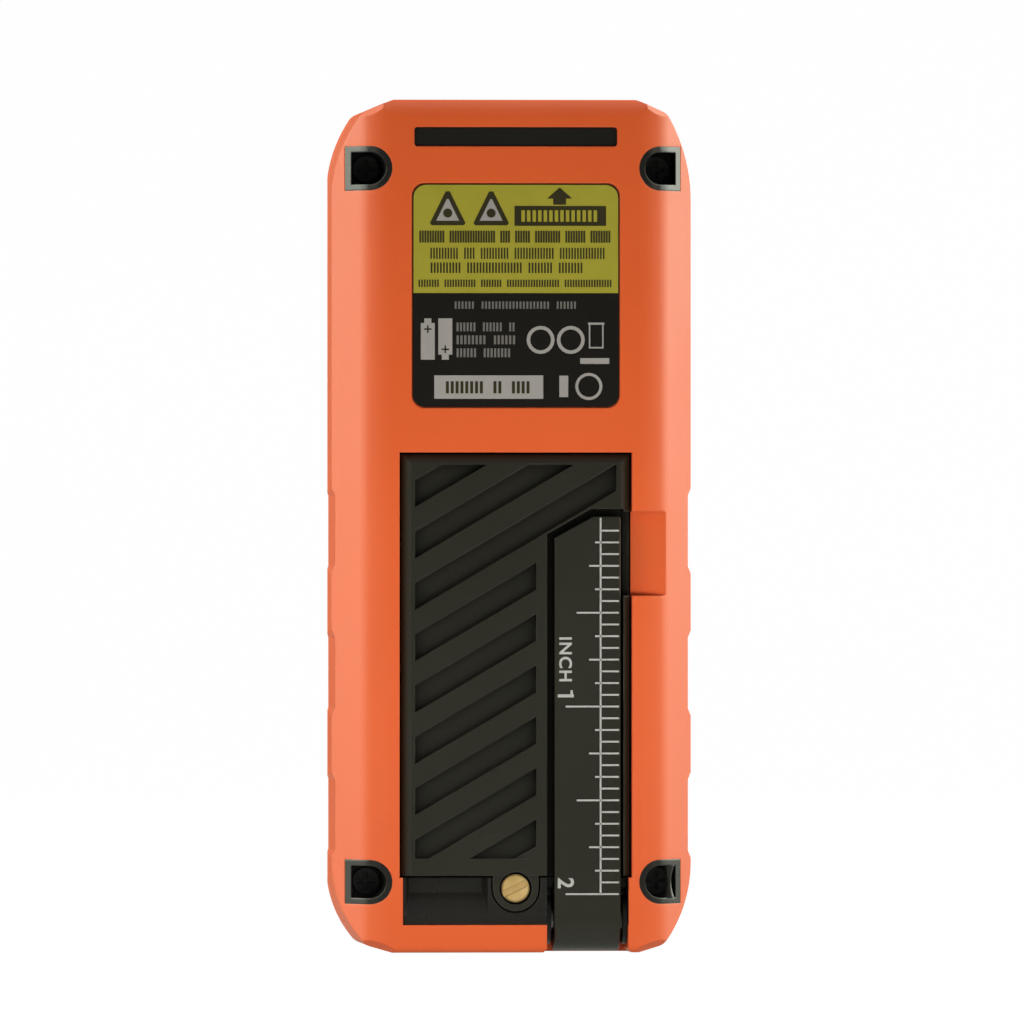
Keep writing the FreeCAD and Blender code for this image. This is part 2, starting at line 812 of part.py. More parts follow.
def battery_cover():
    """Ribbed black cover with the trough that the foot folds into."""
    low = cover_bottom_z
    plate_depth = cover_sink + cover_plate
    cover = box(-cover_half, cover_half, cover_sink, cover_skirt_depth, low, cover_top_z)
    cover = bevelled_block(cover)
    inner = cover_half - cover_skirt_wall
    cover = cover.cut(box(-inner, inner, plate_depth, seat_depth, low + cover_skirt_wall,
                          cover_top_z - cover_skirt_wall))
    trough_x0 = -foot_centre - foot_width / 2 - trough_edge_gap
    trough_x1 = -foot_centre + foot_width / 2 + slot_side_gap
    trough_top = foot_tip_z + slot_side_gap
    tip_x = -foot_centre + foot_width / 2
    wall = inner_wall
    trough_shape = [(trough_x0, low - 1), (trough_x1, low - 1),
                    (trough_x1, foot_tip_z - foot_tip_drop + 0.5),
                    (tip_x - foot_tip_run + 0.3, trough_top), (trough_x0, trough_top)]
    floor_depth = trough_depth + wall - 0.2
    outer_shape = [(-cover_half, low), (trough_x1 + wall, low),
                   (trough_x1 + wall, foot_tip_z - foot_tip_drop + 1.0),
                   (tip_x - foot_tip_run + 0.8, trough_top + wall), (-cover_half, trough_top + wall)]
    cover = cover.fuse(flat_prism(outer_shape, plate_depth - 0.5, floor_depth))
    cover = cover.cut(flat_prism(trough_shape, -1, trough_depth))
    tab = rod_y(0, screw_z, tab_half_width, face_step, plate_depth)
    tab = tab.fuse(box(-tab_half_width, tab_half_width, face_step, plate_depth, screw_z,
                       low + cover_skirt_wall))
    cover = cover.fuse(tab)
    for groove in rib_grooves():
        cover = cover.cut(groove)
    cover = soften(cover.removeSplitter(), back_y - cover_sink, BACKWARD, rib_edge_radius)
    scoop_radius = (scoop_length ** 2 / 4 + scoop_depth ** 2) / (2 * scoop_depth)
    scoop_z = low + rib_bottom_margin
    ball = Part.makeSphere(scoop_radius, V(1.8, back_y - cover_sink - scoop_depth + scoop_radius, scoop_z))
    cover = cover.cut(ball.common(box(-6, 8, -1, cover_plate, scoop_z, scoop_z + 3)))
    cover = cover.cut(rod_y(0, screw_z, screw_head_diameter / 2 + moving_gap, -1,
                            screw_head_sink + screw_head_height + 0.15))
    cover = cover.cut(rod_y(0, screw_z, screw_shank_diameter / 2 + 0.2, -1, plate_depth + 1))
    cover = cover.cut(finger_notch(0))
    return cover.removeSplitter()


def bevelled_block(block):
    """Cover block with its top and side edges leaned down; the bottom edge stays square."""
    def ring(grow, depth):
        y = back_y - depth
        x = cover_half + grow
        z0 = cover_bottom_z
        z1 = cover_top_z + grow
        return Part.makePolygon([V(-x, y, z0), V(x, y, z0), V(x, y, z1), V(-x, y, z1), V(-x, y, z0)])
    top = Part.makeLoft([ring(-cover_bevel_width, cover_sink), ring(0, cover_sink + cover_bevel_drop)],
                        True, True)
    rest = block.common(box(-big, big, cover_sink + cover_bevel_drop, seat_depth, 0, body_height))
    return top.fuse(rest).removeSplitter()


def cover_seal():
    """Flat ring between the cover's skirt and its seat."""
    inner = cover_half - cover_skirt_wall
    ring = box(-cover_half, cover_half, cover_skirt_depth, seat_depth, cover_bottom_z, cover_top_z)
    ring = ring.cut(box(-inner, inner, 0, body_depth, cover_bottom_z + cover_skirt_wall,
                        cover_top_z - cover_skirt_wall))
    trough_x1 = -foot_centre + foot_width / 2 + slot_side_gap + inner_wall
    return ring.cut(box(-cover_half - 1, trough_x1 + 0.2, 0, body_depth, cover_bottom_z - 1,
                        foot_tip_z + slot_side_gap + inner_wall + 0.2))


# ---- captive screw ----
def cover_screw():
    head = rod_y(0, screw_z, screw_head_diameter / 2, screw_head_sink, screw_head_sink + screw_head_height)
    head = head.makeChamfer(0.25, [e for e in head.Edges if abs(e.BoundBox.YMin - back_y + screw_head_sink) < 0.01
                                   and e.BoundBox.YLength < 0.01])
    shank = rod_y(0, screw_z, screw_shank_diameter / 2, screw_head_sink + screw_head_height,
                  screw_tip_depth())
    slot = box(-screw_head_diameter, screw_head_diameter, -1, screw_head_sink + screw_slot_depth,
               screw_z - screw_slot_width / 2, screw_z + screw_slot_width / 2)
    slot.rotate(V(0, 0, screw_z), V(0, 1, 0), screw_slot_angle)
    clip_groove = rod_y(0, screw_z, clip_diameter, clip_floor_depth() - moving_gap - clip_thickness,
                        clip_floor_depth() - moving_gap)
    clip_groove = clip_groove.cut(rod_y(0, screw_z, screw_shank_diameter / 2 - 0.3, 0, body_depth))
    return head.fuse(shank).cut(slot).cut(clip_groove)


def screw_clip():
    """Split retaining clip in the screw's groove."""
    depth1 = clip_floor_depth() - moving_gap
    ring = rod_y(0, screw_z, clip_diameter / 2, depth1 - clip_thickness, depth1)
    ring = ring.cut(rod_y(0, screw_z, screw_shank_diameter / 2 - 0.3, 0, body_depth))
    return ring.cut(box(-0.7, 0.7, 0, body_depth, screw_z, screw_z + clip_diameter))


def screw_insert():
    start = clip_floor_depth()
    bush = rod_y(0, screw_z, insert_diameter / 2, start, start + insert_length)
    return bush.cut(rod_y(0, screw_z, screw_shank_diameter / 2 + running_gap, 0, body_depth))


# ---- foot ----
def foot():
    """Fold-out end stop: a flat bar with a chamfered tip and a round knuckle."""
    x0 = -foot_centre - foot_width / 2
    x1 = -foot_centre + foot_width / 2
    bar = flat_prism([(x0, hinge_z), (x1, hinge_z), (x1, foot_tip_z - foot_tip_drop),
                      (x1 - foot_tip_run, foot_tip_z), (x0, foot_tip_z)], foot_sink,
                      foot_sink + foot_thickness)
    knuckle = rod_x(hinge_depth, hinge_z, knuckle_radius, x0, x1)
    web = box(x0, x1, foot_sink, hinge_depth, hinge_z, hinge_z + knuckle_radius * 0.7)
    body = bar.fuse(knuckle)
    body = body.fuse(web.common(rod_x(hinge_depth, hinge_z, knuckle_radius, x0, x1))).removeSplitter()
    body = body.makeFillet(foot_edge_radius, body.Edges)
    return body.cut(rod_x(hinge_depth, hinge_z, pin_diameter / 2 + running_gap, x0 - 1,
                          x1 + 1)).removeSplitter()


def hinge_pin():
    return rod_x(hinge_depth, hinge_z, pin_diameter / 2, pin_start_x(), pin_end_x())


def hinge_washers():
    """Two nylon washers seated against the slot's walls."""
    pair = []
    for wall_x, start_x in ((-foot_centre - slot_half_width, 0),
                            (-foot_centre + slot_half_width, -washer_thickness)):
        ring = rod_x(hinge_depth, hinge_z, washer_diameter / 2, wall_x + start_x,
                     wall_x + start_x + washer_thickness)
        pair.append(ring.cut(rod_x(hinge_depth, hinge_z, pin_diameter / 2, wall_x - 5, wall_x + 5)))
    return Part.makeCompound(pair)


# ---- cells and contacts ----
def cell(side):
    """AAA cell: can, wrapper length and its raised button; the two lie opposite ways."""
    x = side * cell_pitch / 2
    low = bay_bottom_z + contact_thickness
    if side > 0:
        low += spring_length
        button_low = low + cell_length
    else:
        button_low = low
        low += cell_button_height
    can = rod_z(x, cell_depth, cell_diameter / 2, low, low + cell_length)
    can = can.makeFillet(0.5, [e for e in can.Edges if isinstance(e.Curve, Part.Circle)])
    return can.fuse(rod_z(x, cell_depth, cell_button_diameter / 2, button_low,
                          button_low + cell_button_height))


def contact_spring(side, base_z, up):
    """Tapered coil spring, its turns pressed together under load."""
    pitch = (spring_length - 0.1) / spring_turns
    profile = [(0.9, 0)]
    for turn in range(spring_turns):
        radius = spring_base_radius - (spring_base_radius - spring_tip_radius) * turn / (spring_turns - 1)
        profile.append((radius - spring_wire / 2, turn * pitch))
        profile.append((radius, (turn + 0.5) * pitch))
        profile.append((radius - spring_wire / 2, (turn + 1) * pitch - 0.01))
    profile.append((0.9, spring_length - 0.11))
    x = side * cell_pitch / 2
    y = back_y - cell_depth
    face = polygon([V(x + radius, y, base_z + up * rise) for radius, rise in profile])
    return face.revolve(V(x, y, 0), V(0, 0, 1), 360)


def contact_plate(x0, x1, z0):
    half = cell_diameter / 2 - 1.0
    return box(x0, x1, cell_depth - half, cell_depth + half, z0, z0 + contact_thickness)


def bridge_contact():
    """Plate across the bottom of both cells: a flat for one, a spring seat for the other."""
    reach = cell_pitch / 2 + cell_diameter / 2 - 1.0
    return contact_plate(-reach, reach, bay_bottom_z)


def end_contacts():
    """The two separate plates at the top of the bay."""
    half = cell_diameter / 2 - 1.0
    z = bay_top_z - contact_thickness
    return Part.makeCompound([contact_plate(side * cell_pitch / 2 - half, side * cell_pitch / 2 + half, z)
                              for side in (-1, 1)])


def contact_springs():
    return Part.makeCompound([contact_spring(1, bay_bottom_z + contact_thickness, 1),
                              contact_spring(-1, bay_top_z - contact_thickness, -1)])


# ---- board and what sits on it ----
def board_screw_places():
    return [(side * board_screw_x, z) for side in (-1, 1) for z in (board_screw_low_z, board_screw_high_z)]


def board_screw_end_depth():
    return board_depth + 7.0


def main_board():
    board = soft_box(-board_width / 2, board_width / 2, board_depth, board_front_depth,
                     board_bottom_z, board_bottom_z + board_height, 1.5)
    for x, z in board_screw_places() + optics_screw_places():
        board = board.cut(rod_y(x, z, board_screw_shank / 2, 0, body_depth))
    return board


def board_screws():
    screws = []
    for x, z in board_screw_places():
        head = rod_y(x, z, board_screw_head / 2, board_depth - board_screw_head_height, board_depth)
        shank = rod_y(x, z, board_screw_shank / 2, board_depth, board_screw_end_depth())
        screws.append(head.fuse(shank))
    return Part.makeCompound(screws)


def processor_chip():
    return box(-processor_width / 2, processor_width / 2, board_depth - chip_thickness, board_depth,
               processor_low_z, processor_low_z + processor_width)


def range_chip():
    return box(-range_chip_x - range_chip_width, -range_chip_x, board_front_depth,
               board_front_depth + chip_thickness,
               range_chip_low_z, range_chip_low_z + range_chip_width)


def buzzer():
    front = board_front_depth + buzzer_height
    can = rod_y(0, buzzer_z, buzzer_diameter / 2, board_front_depth, front)
    return can.cut(rod_y(0, buzzer_z, buzzer_hole_diameter / 2, front - buzzer_hole_diameter / 2, front + 1))


# ---- keys ----
def key_places():
    """Nine keys on a three by three grid; the top middle one is the round measuring key."""
    names = (("recall_key", "clear_key", "light_key"), ("minus_key", "reference_key", "plus_key"),
             ("area_key", "measure_key", "height_key"))
    for row, row_names in enumerate(names):
        for column, name in enumerate(row_names):
            yield name, (column - 1) * key_pitch_x, key_row_z + row * key_pitch_z


def key_outline(name, x, z, grow, depth0, depth1):
    if name == "measure_key":
        return rod_y(x, z, measure_key_diameter / 2 + grow, depth0, depth1)
    return soft_box(x - key_width / 2 - grow, x + key_width / 2 + grow, depth0, depth1,
                    z - key_height / 2 - grow, z + key_height / 2 + grow, key_corner + grow)


def key(name, x, z):
    """Key cap with the flange that keeps it in, and the stem that meets the mat."""
    cap = key_outline(name, x, z, 0, flange_bottom_depth, body_depth + key_proud)
    rim = [e for e in cap.Edges if e.BoundBox.YMax < front_y - key_proud + 0.01]
    cap = cap.makeFillet(0.6, rim)
    flange = key_outline(name, x, z, key_flange, flange_bottom_depth, flange_top_depth)
    stem = rod_y(x, z, key_stem_diameter / 2, stem_end_depth, flange_bottom_depth)
    return cap.fuse(flange).fuse(stem).removeSplitter()


def keypad_mat():
    """Silicone mat with a plunger over each dome."""
    reach_x = key_pitch_x + key_width / 2 + 1.5
    low = key_row_z - key_height / 2 - 1.0
    high = key_row_z + 2 * key_pitch_z + measure_key_diameter / 2 + 1.0
    mat = soft_box(-reach_x, reach_x, mat_back_depth, mat_front_depth, low, high, 2.0)
    for name, x, z in key_places():
        mat = mat.fuse(rod_y(x, z, mat_plunger_diameter / 2, board_front_depth + dome_height + 0.1,
                             mat_back_depth))
    for x, z in board_screw_places():
        mat = mat.cut(rod_y(x, z, 2.3, 0, body_depth))
    return mat.removeSplitter()


def key_domes():
    return Part.makeCompound([rod_y(x, z, dome_diameter / 2, board_front_depth,
                                    board_front_depth + dome_height)
                              for name, x, z in key_places() if name != "reference_key"]
                             + [rod_y(0, key_row_z + key_pitch_z, dome_diameter / 2 - 0.5,
                                      board_front_depth, board_front_depth + dome_height)])


# ---- display ----
def display_window():
    half = window_width / 2
    return soft_box(-half, half, body_depth - face_sink - window_thickness, body_depth - face_sink,
                    window_bottom_z, window_top_z, 2.0)


def display_depths():
    front = front_inner_depth - display_gap
    return front - display_thickness, front


def display_module():
    depth0, depth1 = display_depths()
    middle = (window_top_z + window_bottom_z) / 2
    return box(-display_width / 2, display_width / 2, depth0, depth1,
               middle - display_height / 2, middle + display_height / 2)


def display_frame():
    """White light guide and frame that carries the display on the board."""
    depth0, depth1 = display_depths()
    middle = (window_top_z + window_bottom_z) / 2
    half_x = display_width / 2 + 0.8
    half_z = display_height / 2 + 0.8
    frame = box(-half_x, half_x, board_front_depth, depth1 - 0.4, middle - half_z, middle + half_z)
    frame = frame.cut(box(-display_width / 2, display_width / 2, depth0, body_depth,
                          middle - display_height / 2, middle + display_height / 2))
    for x, z in optics_screw_places():
        frame = frame.cut(rod_y(x, z, optics_screw_head / 2 + 0.4, 0, board_front_depth + 1.4))
    return frame


# ---- optics ----
def optics_axis_depth():
    return cap_depth_start + cap_depth / 2


def lens_seat_z():
    return optics_top_z - 7.0


def optics_frame():
    """Die-cast block that holds the laser tube and the receiving lens in line."""
    half = optics_width / 2
    depth = optics_axis_depth()
    frame = box(-half, half, optics_depth_start, optics_depth_start + optics_depth, optics_bottom_z,
                optics_top_z)
    frame = frame.makeFillet(1.5, edges_along(frame, V(0, 0, 1)))
    frame = frame.cut(rod_z(receiver_offset, depth, receiver_lens_diameter / 2, lens_seat_z(),
                            optics_top_z + 1))
    cone = Part.makeCone(receiver_cone / 2, receiver_lens_diameter / 2 - 0.8,
                         lens_seat_z() - optics_bottom_z - 2,
                         V(receiver_offset, back_y - depth, optics_bottom_z + 2))
    frame = frame.cut(cone)
    frame = frame.cut(rod_z(receiver_offset, depth, receiver_cone / 2, optics_bottom_z - 1,
                            optics_bottom_z + 3))
    for x, z in optics_screw_places():
        frame = frame.fuse(rod_y(x, z, optics_screw_head / 2 + 0.4, optics_depth_start + optics_depth,
                                 board_depth))
        frame = frame.cut(rod_y(x, z, board_screw_shank / 2, board_depth - 4.5, board_depth + 1))
    return frame.cut(rod_z(-laser_offset, depth, laser_tube_diameter / 2,
                           optics_top_z - laser_tube_length, optics_top_z + 1))


def receiver_lens():
    """Plano-convex collecting lens, its curved side facing out."""
    depth = optics_axis_depth()
    low = lens_seat_z()
    disc = rod_z(receiver_offset, depth, receiver_lens_diameter / 2, low, low + receiver_lens_thickness)
    curve = 14.0
    ball = Part.makeSphere(curve, V(receiver_offset, back_y - depth, low + receiver_lens_thickness - curve))
    return disc.common(ball)


def laser_tube():
    depth = optics_axis_depth()
    low = optics_top_z - laser_tube_length
    tube = rod_z(-laser_offset, depth, laser_tube_diameter / 2, low, optics_top_z)
    return tube.cut(rod_z(-laser_offset, depth, laser_tube_diameter / 2 - laser_tube_wall, low - 1,
                          optics_top_z + 1))


def collimator_lens():
    depth = optics_axis_depth()
    radius = laser_tube_diameter / 2 - laser_tube_wall
    disc = rod_z(-laser_offset, depth, radius, optics_top_z - 4.0, optics_top_z - 2.0)
    return disc.common(Part.makeSphere(6.0, V(-laser_offset, back_y - depth, optics_top_z - 8.0)))


def laser_diode():
    depth = optics_axis_depth()
    radius = laser_tube_diameter / 2 - laser_tube_wall
    low = optics_top_z - laser_tube_length
    base = rod_z(-laser_offset, depth, radius, low, low + 1.2)
    return base.fuse(rod_z(-laser_offset, depth, radius - 0.9, low + 1.2, low + 3.6))


def detector_board():
    """Receiving diode in its can, on the end of the receiver's cone."""
    depth = optics_axis_depth()
    low = optics_bottom_z - 1.0
    board = box(receiver_offset - 7.0, receiver_offset + 7.0, depth - 5.0, depth + 5.0, low, optics_bottom_z)
    return board


def detector():
    depth = optics_axis_depth()
    return rod_z(receiver_offset, depth, receiver_cone / 2 - 0.2, optics_bottom_z, optics_bottom_z + 2.4)


def flex_strip():
    """Thin strip from the detector's board down to the main board."""
    depth = optics_axis_depth() + 5.0
    low = optics_bottom_z - 1.0
    run = box(receiver_offset - 3.0, receiver_offset + 3.0, depth, board_depth, low - 0.25, low)
    return run


def optics_screw_places():
    return [(side * (optics_width / 2 - 2.4), optics_bottom_z + rise)
            for side in (-1, 1) for rise in (4.0, 24.0)]


def optics_screws():
    """Screws through the board into the optics block's feet."""
    screws = []
    for x, z in optics_screw_places():
        head = rod_y(x, z, optics_screw_head / 2, board_front_depth, board_front_depth + 1.0)
        shank = rod_y(x, z, board_screw_shank / 2, board_depth - 4.0, board_front_depth)
        screws.append(head.fuse(shank))
    return Part.makeCompound(screws)


# ---- case screws and lanyard post ----
def case_screw_end_depth():
    return well_depth + case_screw_length


def case_screws():
    screws = []
    for side, z in wells():
        x = side * well_centre
        head = rod_y(x, z, case_screw_head / 2, well_depth - case_screw_head_height, well_depth)
        for turn in (0, 90):
            slot = box(x - 1.2, x + 1.2, well_depth - case_screw_head_height - 1, well_depth - 0.8,
                       z - 0.25, z + 0.25)
            slot.rotate(V(x, 0, z), V(0, 1, 0), turn)
            head = head.cut(slot)
        screws.append(head.fuse(rod_y(x, z, case_screw_shank / 2, well_depth, case_screw_end_depth())))
    return Part.makeCompound(screws)


def lanyard_post():
    """Waisted bar across one lower well, for a wrist cord to loop round."""
    x = -well_centre - post_offset
    y = back_y - post_depth - 1.4
    half = well_radius
    side_points = [V(x + post_flare, y, bottom_well_z - half), V(x + post_waist, y, bottom_well_z),
                   V(x + post_flare, y, bottom_well_z + half)]
    edges = [arc(*side_points), line(side_points[2], V(x, y, bottom_well_z + half)),
             line(V(x, y, bottom_well_z + half), V(x, y, bottom_well_z - half)),
             line(V(x, y, bottom_well_z - half), side_points[0])]
    return Part.Face(Part.Wire(edges)).revolve(V(x, y, 0), V(0, 0, 1), 360)


def case_seal():
    return seal_ring(0)


# ---- write every sub-part ----
nodes = {
    "rear_jacket": rear_jacket(),
    "rear_shell": rear_shell(),
    "front_jacket": front_jacket(),
    "front_shell": front_shell(),
    "case_seal": case_seal(),
    "end_cap": end_cap(),
    "receiver_window": pane(receiver_offset, receiver_window_diameter),
    "emitter_window": pane(-laser_offset, emitter_window_diameter),
    "label_plate": label_plate(),
    "battery_cover": battery_cover(),
    "cover_seal": cover_seal(),
    "cover_screw": cover_screw(),
    "screw_clip": screw_clip(),
    "screw_insert": screw_insert(),
    "foot": foot(),
    "hinge_pin": hinge_pin(),
    "hinge_washers": hinge_washers(),
    "battery_left": cell(1),
    "battery_right": cell(-1),
    "bridge_contact": bridge_contact(),
    "end_contacts": end_contacts(),
    "contact_springs": contact_springs(),
    "main_board": main_board(),
    "board_screws": board_screws(),
    "processor_chip": processor_chip(),
    "range_chip": range_chip(),
    "buzzer": buzzer(),
    "keypad_mat": keypad_mat(),
    "key_domes": key_domes(),
    "display_window": display_window(),
    "display_module": display_module(),
    "display_frame": display_frame(),
    "optics_frame": optics_frame(),
    "receiver_lens": receiver_lens(),
    "laser_tube": laser_tube(),
    "collimator_lens": collimator_lens(),
    "laser_diode": laser_diode(),
    "detector_board": detector_board(),
    "detector": detector(),
    "flex_strip": flex_strip(),
    "optics_screws": optics_screws(),
    "case_screws": case_screws(),
    "lanyard_post": lanyard_post(),
}
for key_name, key_x, key_z in key_places():
    nodes[key_name] = key(key_name, key_x, key_z)

os.makedirs("parts", exist_ok=True)
for node, shape in nodes.items():
    shape.exportStep("parts/" + node + ".step")
    print(node, len(shape.Solids), "solids", round(shape.Volume, 1), "mm3",
          "valid" if shape.isValid() else "INVALID")
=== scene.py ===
import math

import bmesh
import bpy
from mathutils import Matrix, Vector


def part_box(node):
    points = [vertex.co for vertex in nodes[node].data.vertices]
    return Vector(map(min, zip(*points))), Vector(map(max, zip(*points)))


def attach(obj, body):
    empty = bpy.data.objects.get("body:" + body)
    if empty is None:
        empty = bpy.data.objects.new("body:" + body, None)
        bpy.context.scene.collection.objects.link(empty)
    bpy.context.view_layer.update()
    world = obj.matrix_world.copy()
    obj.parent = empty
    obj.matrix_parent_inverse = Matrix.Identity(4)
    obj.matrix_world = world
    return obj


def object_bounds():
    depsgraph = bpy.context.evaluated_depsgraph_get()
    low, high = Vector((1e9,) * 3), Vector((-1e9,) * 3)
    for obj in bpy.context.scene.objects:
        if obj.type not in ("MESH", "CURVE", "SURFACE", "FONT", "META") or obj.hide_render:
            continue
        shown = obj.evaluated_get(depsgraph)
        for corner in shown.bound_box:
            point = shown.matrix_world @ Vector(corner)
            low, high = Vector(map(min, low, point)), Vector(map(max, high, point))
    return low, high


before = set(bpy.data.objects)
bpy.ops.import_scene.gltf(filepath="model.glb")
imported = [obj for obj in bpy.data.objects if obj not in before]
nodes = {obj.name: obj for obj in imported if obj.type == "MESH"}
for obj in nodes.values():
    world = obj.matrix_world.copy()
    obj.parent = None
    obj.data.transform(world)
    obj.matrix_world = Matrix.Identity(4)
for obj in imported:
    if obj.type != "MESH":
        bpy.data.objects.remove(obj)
cad_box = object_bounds()

# ---------------------------------------------------------------- the studio
# A pale sweep lies below the meter and rises all round it. One large box lights it
# from overhead, pairs of rim, feather and flank boxes shape its sides, and a small
# glow fills in low behind it.
MM = 0.001
low_corner, high_corner = [Vector(corner) for corner in cad_box]
middle = (low_corner + high_corner) / 2
back_y = high_corner.y
# The floor lies lower than the meter's end, so that the foot shows when it is swung right out.
floor_drop = 0.08

scene = bpy.context.scene
scene.view_settings.view_transform = "Standard"


def principled(name, **settings):
    """A material with its Principled shader, and constants set on the shader's own sockets."""
    material = bpy.data.materials.new(name)
    material.use_nodes = True
    shader = material.node_tree.nodes["Principled BSDF"]
    for socket, value in settings.items():
        shader.inputs[socket.replace("_", " ")].default_value = value
    return material, material.node_tree, shader


def stage_sweep():
    """Floor that curves up into a backdrop on every side, as a lathe-turned bowl."""
    reach, rise, turns, steps = 9.0, 2.5, 96, 10
    profile = [(0.0, 0.0), (reach - rise, 0.0)]
    for step in range(1, steps + 1):
        angle = math.pi / 2 * step / steps
        profile.append((reach - rise + rise * math.sin(angle), rise - rise * math.cos(angle)))
    profile.append((reach, 2 * rise))
    mesh = bmesh.new()
    rings = []
    for radius, height in profile:
        if radius == 0.0:
            rings.append([mesh.verts.new((0, 0, height))])
        else:
            rings.append([mesh.verts.new((radius * math.cos(2 * math.pi * turn / turns),
                                          radius * math.sin(2 * math.pi * turn / turns), height))
                          for turn in range(turns)])
    for inner, outer in zip(rings, rings[1:]):
        for turn in range(turns):
            after = (turn + 1) % turns
            if len(inner) == 1:
                mesh.faces.new((inner[0], outer[turn], outer[after]))
            else:
                mesh.faces.new((inner[turn], outer[turn], outer[after], inner[after]))
    data = bpy.data.meshes.new("sweep")
    mesh.to_mesh(data)
    for face in data.polygons:
        face.use_smooth = True
    sweep = bpy.data.objects.new("sweep", data)
    sweep.location.z = low_corner.z - floor_drop
    scene.collection.objects.link(sweep)
    material, tree, shader = principled("sweep_paper", Roughness=0.9, Emission_Strength=0.95)
    seen = tree.nodes.new("ShaderNodeLightPath")
    tree.links.new(seen.outputs["Is Camera Ray"], shader.inputs["Emission Color"])
    grain = tree.nodes.new("ShaderNodeTexNoise")
    grain.inputs["Scale"].default_value = 14.0
    tone = tree.nodes.new("ShaderNodeValToRGB")
    tone.color_ramp.elements[0].color = (0.30, 0.30, 0.30, 1)
    tone.color_ramp.elements[1].color = (0.33, 0.33, 0.33, 1)
    tree.links.new(grain.outputs["Fac"], tone.inputs["Fac"])
    tree.links.new(tone.outputs["Color"], shader.inputs["Base Color"])
    data.materials.append(material)
    return sweep


stage_sweep()


def soft_box(name, place, size, power, colour=(1, 1, 1)):
    """Rectangular studio light aimed at the middle of the meter."""
    light = bpy.data.lights.new(name, "AREA")
    light.shape = "RECTANGLE"
    light.size, light.size_y = size
    light.energy = power
    light.color = colour
    lamp = bpy.data.objects.new(name, light)
    lamp.location = middle + Vector(place)
    lamp.rotation_euler = (-Vector(place)).to_track_quat("-Z", "Y").to_euler()
    scene.collection.objects.link(lamp)
    return lamp


world = bpy.data.worlds.new("studio_air")
world.use_nodes = True
world.node_tree.nodes["Background"].inputs["Color"].default_value = (1, 1, 1, 1)
world.node_tree.nodes["Background"].inputs["Strength"].default_value = 0.2
scene.world = world

warm = (1.0, 0.92, 0.72)
rim_tone = (0.95, 1.0, 0.85)
soft_box("overhead_box", (0.0, -0.12, 1.1), (1.0, 1.0), 7.0).visible_glossy = False
for side_name, side in (("left", 1), ("right", -1)):
    soft_box("rim_box_" + side_name, (side * 0.97, -0.46, 0.42), (1.2, 0.95), 13.5, rim_tone)
    soft_box("feather_box_" + side_name, (side * 0.95, 0.42, 0.42), (0.5, 0.95), 1.4, warm)
    soft_box("flank_box_" + side_name, (side * 0.80, 0.55, 0.15), (0.4, 0.4), 0.5).visible_glossy = False
table_glow = soft_box("table_glow", (0.0, 0.135, -0.035), (0.4, 0.02), 0.22)
table_glow.visible_camera = False
table_glow.visible_glossy = False

view_distance = 2.4
view_yaw = math.radians(4.0)
view_height = 0.1386
view_shift = 0.00046
view_middle = 0.05965
camera_data = bpy.data.cameras.new("viewpoint")
camera_data.sensor_width = 36.0
camera_data.lens = camera_data.sensor_width * view_distance / view_height
camera_data.clip_end = 20.0
camera = bpy.data.objects.new("viewpoint", camera_data)
toward = Vector((math.sin(view_yaw), math.cos(view_yaw), 0.0))
aim = Vector((-view_shift, 0.0, low_corner.z + view_middle)) + toward * back_y
camera.location = aim + toward * view_distance
camera.rotation_euler = (-toward).to_track_quat("-Z", "Y").to_euler()
scene.collection.objects.link(camera)
scene.camera = camera

# ---------------------------------------------------------------- orange jacket
# Soft elastomer moulded over both halves of the hard case: a fine satin grain,
# slightly paler on the edges where hands rub them and as a painted highlight, and a little grime and
# painted shade where it meets black.


def group(name, inputs, outputs):
    """Empty shader node group with float inputs and typed outputs."""
    tree = bpy.data.node_groups.new(name, "ShaderNodeTree")
    for socket, default in inputs.items():
        made = tree.interface.new_socket(name=socket, in_out="INPUT", socket_type="NodeSocketFloat")
        made.default_value = default
    for socket, kind in outputs.items():
        tree.interface.new_socket(name=socket, in_out="OUTPUT", socket_type="NodeSocket" + kind)
    return tree, tree.nodes.new("NodeGroupInput"), tree.nodes.new("NodeGroupOutput")


def moulded_grain():
    """Fine leathery texture from the tool, with a slower drift in tone."""
    tree, given, result = group("moulded_grain", {"Scale": 900.0}, {"Height": "Float", "Drift": "Float"})
    place = tree.nodes.new("ShaderNodeTexCoord")
    pits = tree.nodes.new("ShaderNodeTexVoronoi")
    fine = tree.nodes.new("ShaderNodeTexNoise")
    slow = tree.nodes.new("ShaderNodeTexNoise")
    both = tree.nodes.new("ShaderNodeMath")
    both.operation = "MULTIPLY_ADD"
    both.inputs[1].default_value = 0.6
    fine.inputs["Detail"].default_value = 4.0
    slow.inputs["Scale"].default_value = 55.0
    slow.inputs["Detail"].default_value = 5.0
    for texture in (pits, fine, slow):
        tree.links.new(place.outputs["Object"], texture.inputs["Vector"])
    tree.links.new(given.outputs["Scale"], pits.inputs["Scale"])
    tree.links.new(given.outputs["Scale"], fine.inputs["Scale"])
    tree.links.new(pits.outputs["Distance"], both.inputs[0])
    tree.links.new(fine.outputs["Fac"], both.inputs[2])
    tree.links.new(both.outputs["Value"], result.inputs["Height"])
    tree.links.new(slow.outputs["Fac"], result.inputs["Drift"])
    return tree


